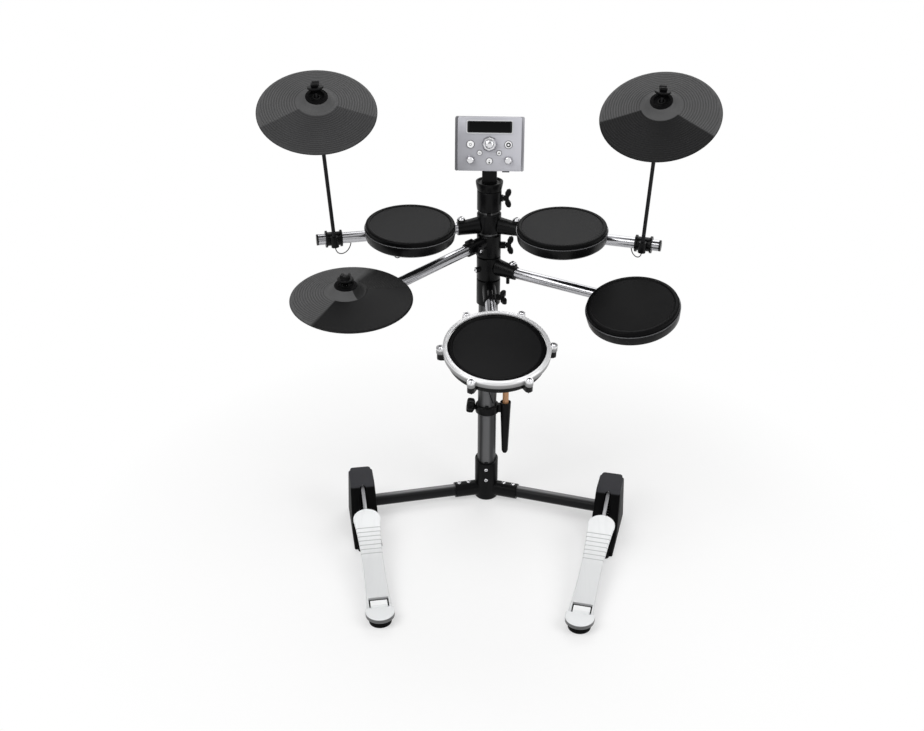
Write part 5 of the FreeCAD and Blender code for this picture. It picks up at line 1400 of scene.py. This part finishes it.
class DRUMKIT_OT_cymbals(bpy.types.Operator):
    """Makes the three grooved cymbals with their washers and finishes their wing nuts"""
    bl_idname = "drumkit.cymbals"
    bl_label = "Cymbals"

    def execute(self, context):
        # The last number ends the hi-hat's painted shade wedge; for the crashes it lies out of reach.
        looks = {"crash_left": ("crash_left_rod", colours().left_sector, 65.8, 6.9, 0.0, -10.0),
                 "crash_right": ("crash_right_rod", colours().right_sector, 64.0, -5.6, 0.0, -10.0),
                 "hihat": ("hihat_holder", colours().hihat_sector, 65.3, 1.2, 1.0, 117.0)}
        for name, look in looks.items():
            self.cymbal(name, *look)
            softened(name + "_nut", name + "_nut", "black_plastic", wing_black(), sizes().wing_round)
        return {"FINISHED"}

    @staticmethod
    def cymbal(name, carrier, sector, half, middle, plain, shade_turn):
        """One cymbal in its place with its upper washer and the felt under it, which stays on the rod."""
        place = cymbal_frame(name)
        piece = new_piece(name + "_pad", [], [], [])
        skin = cymbal_rubber(name + "_rubber", sector)
        grow(piece, cymbal_pad, {
            "Radius": 0.126, "Offset": 0.020, "Hole": 0.0058, "Thickness": 0.005,
            "Groove Pitch": sizes().groove_pitch, "Groove Depth": sizes().groove_depth,
            "Sector Half": math.radians(half), "Sector Middle": math.radians(middle),
            "Sector Rise": 0.0007 * plain, "Sector Plain": plain, "Shade Turn": math.radians(shade_turn)},
            skin)
        piece.data.transform(place)
        smooth(piece, 50.0)
        give(piece, name, "cymbal_rubber", name + "_cymbal")
        radius = sizes().washer_radius
        inner, low = 0.0082, 0.0022
        ring = eased([(inner, low), (radius, low), (radius, 0.0044), (0.0194, 0.0044), (0.0190, 0.0050),
                      (0.0160, 0.0050), (0.0135, 0.0032), (inner, 0.0029), (inner, low)], 0.0012)
        felt = rubber("washer_felt", colours().rubber_side, 0.6)
        give(turned(name + "_washer", ring, place, [felt]), name, "cymbal_rubber")
        pad = eased([(0.0, -0.0066), (0.0130, -0.0066), (0.0130, -0.0050), (0.0, -0.0050)], 0.0008)
        give(turned(name + "_lower_felt", pad, place, [felt]), carrier, "cymbal_rubber")


class DRUMKIT_OT_sticks(bpy.types.Operator):
    """Turns the two sticks and finishes their holder"""
    bl_idname = "drumkit.sticks"
    bl_label = "Sticks"

    def execute(self, context):
        softened("stick_holder", "stick_holder", "black_plastic", gloss_black(), sizes().edge_round,
                 form=self.taper)
        self.star_knob(sizes().holder_knob_radius)
        low = STICK_FOOT
        high = low + STICK_LENGTH
        neck = low + 0.014
        outline = eased([(0.0, low), (0.0040, low + 0.0006), (0.0056, neck - 0.007), (0.0045, neck),
                         (0.0074, neck + 0.12), (0.0072, high - 0.002), (0.0, high)], 0.006, 8)
        for number, axis in enumerate(cup_axes(), 1):
            place = Matrix.Translation(axis)
            stick = turned("stick_" + str(number), outline, place, [stick_wood()], steps=40)
            give(stick, "sticks", "stick_wood", "drum_sticks")
        return {"FINISHED"}

    @staticmethod
    def star_knob(radius):
        """The lobed knob that tightens the holder's clamp."""
        points = 7
        dent = 0.20

        def lobed(around, reach):
            share = 0.5 - 0.5 * math.cos(points * around)
            return 1.0 - dent * share if reach > radius * 0.6 else 1.0

        place = framed(UP * HOLDER_HEIGHT, Vector((0.0, -1.0, 0.0)), Vector((-1.0, -0.25, 0.12)))
        star = eased([(0.0, 0.0300), (radius * 0.55, 0.0300), (radius * 0.95, 0.0335), (radius, 0.0375),
                      (radius, 0.0450), (radius * 0.90, 0.0492), (radius * 0.5, 0.0505), (0.0, 0.0505)],
                     0.002, 4)
        knob = turned("holder_knob", star, place, [gloss_black()], steps=140, form=lobed)
        give(knob, "stick_holder", "black_plastic")

    @staticmethod
    def taper(point):
        """A point of the holder, drawn in towards its cup's axis the lower it lies."""
        cup_wall = 0.0140
        drawn_in = 0.42
        for axis in cup_axes():
            away = Vector((point.x - axis.x, point.y - axis.y, 0.0))
            if away.length < cup_wall:
                return point - away * (drawn_in * (CUP_TOP - point.z) / CUP_DEPTH)
        return point


# Each cable's body, the node that it stands for, its length and the points of its route.
CORDS = {
    "crash_left_cable": ("tom_bracket", "crash_cables", 0.0602, (
        (-0.3350, -0.1103, 0.7137), (-0.3344, -0.1103, 0.7069), (-0.3288, -0.1089, 0.6993),
        (-0.3196, -0.1045, 0.6968), (-0.3104, -0.0945, 0.7002), (-0.3052, -0.0844, 0.7079),
        (-0.3043, -0.0815, 0.7140))),
    "crash_right_cable": ("tom_bracket", "crash_cables", 0.0465, (
        (0.3352, -0.1103, 0.7137), (0.3345, -0.1103, 0.7079), (0.3301, -0.1077, 0.7020),
        (0.3230, -0.0999, 0.7008), (0.3163, -0.0883, 0.7061), (0.3149, -0.0844, 0.7140))),
    "tom_loop": ("tom_left", "tom_cable", 0.1383, (
        (-0.1924, -0.0721, 0.7429), (-0.1891, -0.0763, 0.7168), (-0.1904, -0.0796, 0.6934),
        (-0.1960, -0.0798, 0.6794), (-0.2057, -0.0824, 0.6794), (-0.2107, -0.0850, 0.6934),
        (-0.2134, -0.0829, 0.7168), (-0.2127, -0.0775, 0.7429))),
    "snare_lead": ("snare_holder", "snare_cable", 0.2970, (
        (0.0128, -0.1405, 0.5373), (0.0122, -0.1368, 0.5034), (0.0098, -0.1222, 0.4616),
        (0.0056, -0.0916, 0.4197), (0.0014, -0.0574, 0.3832), (0.0004, -0.0342, 0.3440),
        (0.0045, -0.0256, 0.3074), (0.0154, -0.0183, 0.2760))),
}


class DRUMKIT_OT_cords(bpy.types.Operator):
    """Lays the thin cables along their routes"""
    bl_idname = "drumkit.cords"
    bl_label = "Cables"

    def execute(self, context):
        for name, (body, node, run, route) in CORDS.items():
            curve = bpy.data.curves.new(name, "CURVE")
            curve.dimensions = "3D"
            curve.bevel_depth = sizes().cord_diameter / 2
            curve.bevel_resolution = 5
            curve.use_fill_caps = True
            curve.resolution_u = 16
            line = curve.splines.new("NURBS")
            line.points.add(len(route) - 1)
            for point, place in zip(line.points, route):
                point.co = (*place, 1.0)
            line.order_u = 3
            line.use_endpoint_u = True
            curve.materials.append(cord_skin())
            piece = bpy.data.objects.new(name, curve)
            context.scene.collection.objects.link(piece)
            give(piece, body, "cord_rubber", node)
        return {"FINISHED"}


class DRUMKIT_OT_stage(bpy.types.Operator):
    """Sets the white floor, the soft studio light and the camera"""
    bl_idname = "drumkit.stage"
    bl_label = "Stage"

    def execute(self, context):
        self.floor()
        self.world(context.scene)
        self.lamp("key", (-1.5, -1.7, 2.7), 1.9, 44.0)
        self.lamp("fill", (2.0, -1.3, 2.0), 1.6, 26.0)
        self.lamp("back", (0.3, 1.7, 2.5), 1.6, 18.0)
        self.camera(context.scene)
        context.scene.view_settings.view_transform = "Standard"
        return {"FINISHED"}

    @staticmethod
    def seen(graph):
        """One for rays that show a surface to the eye, straight on or through a reflection."""
        path = graph.node("ShaderNodeLightPath").socket.node.outputs
        eye, mirror, glass = (
            Wire(graph, path[name]) for name in ("Is Camera Ray", "Is Glossy Ray", "Is Transmission Ray"))
        return (eye + mirror + glass).held()

    def floor(self):
        half = 9.0
        level = -0.0006
        corners = [(-half, -half, level), (half, -half, level), (half, half, level), (-half, half, level)]
        piece = new_piece("studio_floor", corners, [(0, 1, 2, 3)], [])
        material = bpy.data.materials.new("floor_white")
        material.use_nodes = True
        tree = material.node_tree
        tree.nodes.remove(tree.nodes["Principled BSDF"])
        graph = Graph(tree)
        spot = graph.spot()
        x, y, _ = graph.parts(spot)
        ahead = y + 0.15
        shadow_reach, fade = 0.45, 0.55
        far = (((x * x + ahead * ahead).root() - shadow_reach) / fade).held()
        grain = graph.noise(spot, 40.0)
        white = colours().floor_white
        paint = graph.blend(grain, shade(white, 0.985), white)
        matt = graph.node("ShaderNodeBsdfDiffuse", inputs={"Color": paint})
        glow = graph.node("ShaderNodeEmission", inputs={"Color": (1.0, 1.0, 1.0, 1.0), "Strength": 1.0})
        share = self.seen(graph) * (far * 0.56 + 0.44)
        mixed = graph.node("ShaderNodeMixShader", inputs={0: share, 1: matt, 2: glow})
        graph.feed(tree.nodes["Material Output"].inputs["Surface"], mixed)
        piece.data.materials.append(material)

    def world(self, scene):
        """Soft even light; reflections see a bright room with a darker band above the horizon."""
        world = bpy.data.worlds.new("studio")
        world.use_nodes = True
        scene.world = world
        graph = Graph(world.node_tree)
        height = graph.parts(graph.node("ShaderNodeTexCoord", output="Generated"))[2] * 0.5 + 0.5
        bands = graph.steps(height, [(0.50, 1.0), (0.60, 0.9), (0.68, 0.25), (0.82, 0.3), (0.90, 1.0)])
        light = graph.blend(self.seen(graph), (0.42, 0.42, 0.42), bands)
        graph.feed(world.node_tree.nodes["Background"].inputs["Color"], light)

    @staticmethod
    def lamp(name, place, size, power):
        data = bpy.data.lights.new(name, "AREA")
        data.size = size
        data.energy = power
        lamp = bpy.data.objects.new(name, data)
        lamp.location = place
        lamp.rotation_euler = (Vector((0.0, -0.1, 0.6)) - Vector(place)).to_track_quat("-Z", "Y").to_euler()
        bpy.context.scene.collection.objects.link(lamp)

    @staticmethod
    def camera(scene):
        """The camera at the photograph's view."""
        data = bpy.data.cameras.new("front_view")
        data.sensor_width = 36.0
        data.lens = 48.70
        data.clip_end = 60.0
        camera = bpy.data.objects.new("front_view", data)
        target = Vector((-0.06118, 0.0, 0.36762))
        azimuth = math.radians(2.6)
        elevation = math.radians(28.0)
        distance = 3.0
        level = Vector((math.sin(azimuth), -math.cos(azimuth), 0.0))
        out = level * math.cos(elevation) + UP * math.sin(elevation)
        camera.location = target + out * distance
        camera.rotation_euler = (out * -1.0).to_track_quat("-Z", "Y").to_euler()
        scene.collection.objects.link(camera)
        scene.camera = camera


class DRUMKIT_PT_panel(bpy.types.Panel):
    bl_idname = "DRUMKIT_PT_panel"
    bl_label = "Drum Kit"
    bl_space_type = "VIEW_3D"
    bl_region_type = "UI"
    bl_category = "Drum Kit"

    def draw(self, context):
        for step in STEPS:
            self.layout.operator(step.bl_idname)
        for group in (context.scene.drum_kit.colours, context.scene.drum_kit.sizes):
            for name in group.__annotations__:
                self.layout.prop(group, name)


STEPS = (DRUMKIT_OT_cords, DRUMKIT_OT_stand, DRUMKIT_OT_pedals, DRUMKIT_OT_fittings, DRUMKIT_OT_module,
         DRUMKIT_OT_pads, DRUMKIT_OT_snare, DRUMKIT_OT_cymbals, DRUMKIT_OT_sticks, DRUMKIT_OT_stage)
CLASSES = (DrumKitColours, DrumKitSizes, DrumKitSettings) + STEPS + (DRUMKIT_PT_panel,)


def register():
    """Makes the classes known and gives the scene its settings."""
    for kind in CLASSES:
        bpy.utils.register_class(kind)
    bpy.types.Scene.drum_kit = PointerProperty(name="Drum kit", description="Settings of the drum kit",
                                               type=DrumKitSettings)


def unregister():
    """Takes back what register did."""
    del bpy.types.Scene.drum_kit
    for kind in reversed(CLASSES):
        bpy.utils.unregister_class(kind)


def main():
    register()
    bpy.ops.drumkit.cords()
    bpy.ops.drumkit.stand()
    bpy.ops.drumkit.pedals()
    bpy.ops.drumkit.fittings()
    bpy.ops.drumkit.module()
    bpy.ops.drumkit.pads()
    bpy.ops.drumkit.snare()
    bpy.ops.drumkit.cymbals()
    bpy.ops.drumkit.sticks()
    bpy.ops.drumkit.stage()


if __name__ == "__main__":
    main()
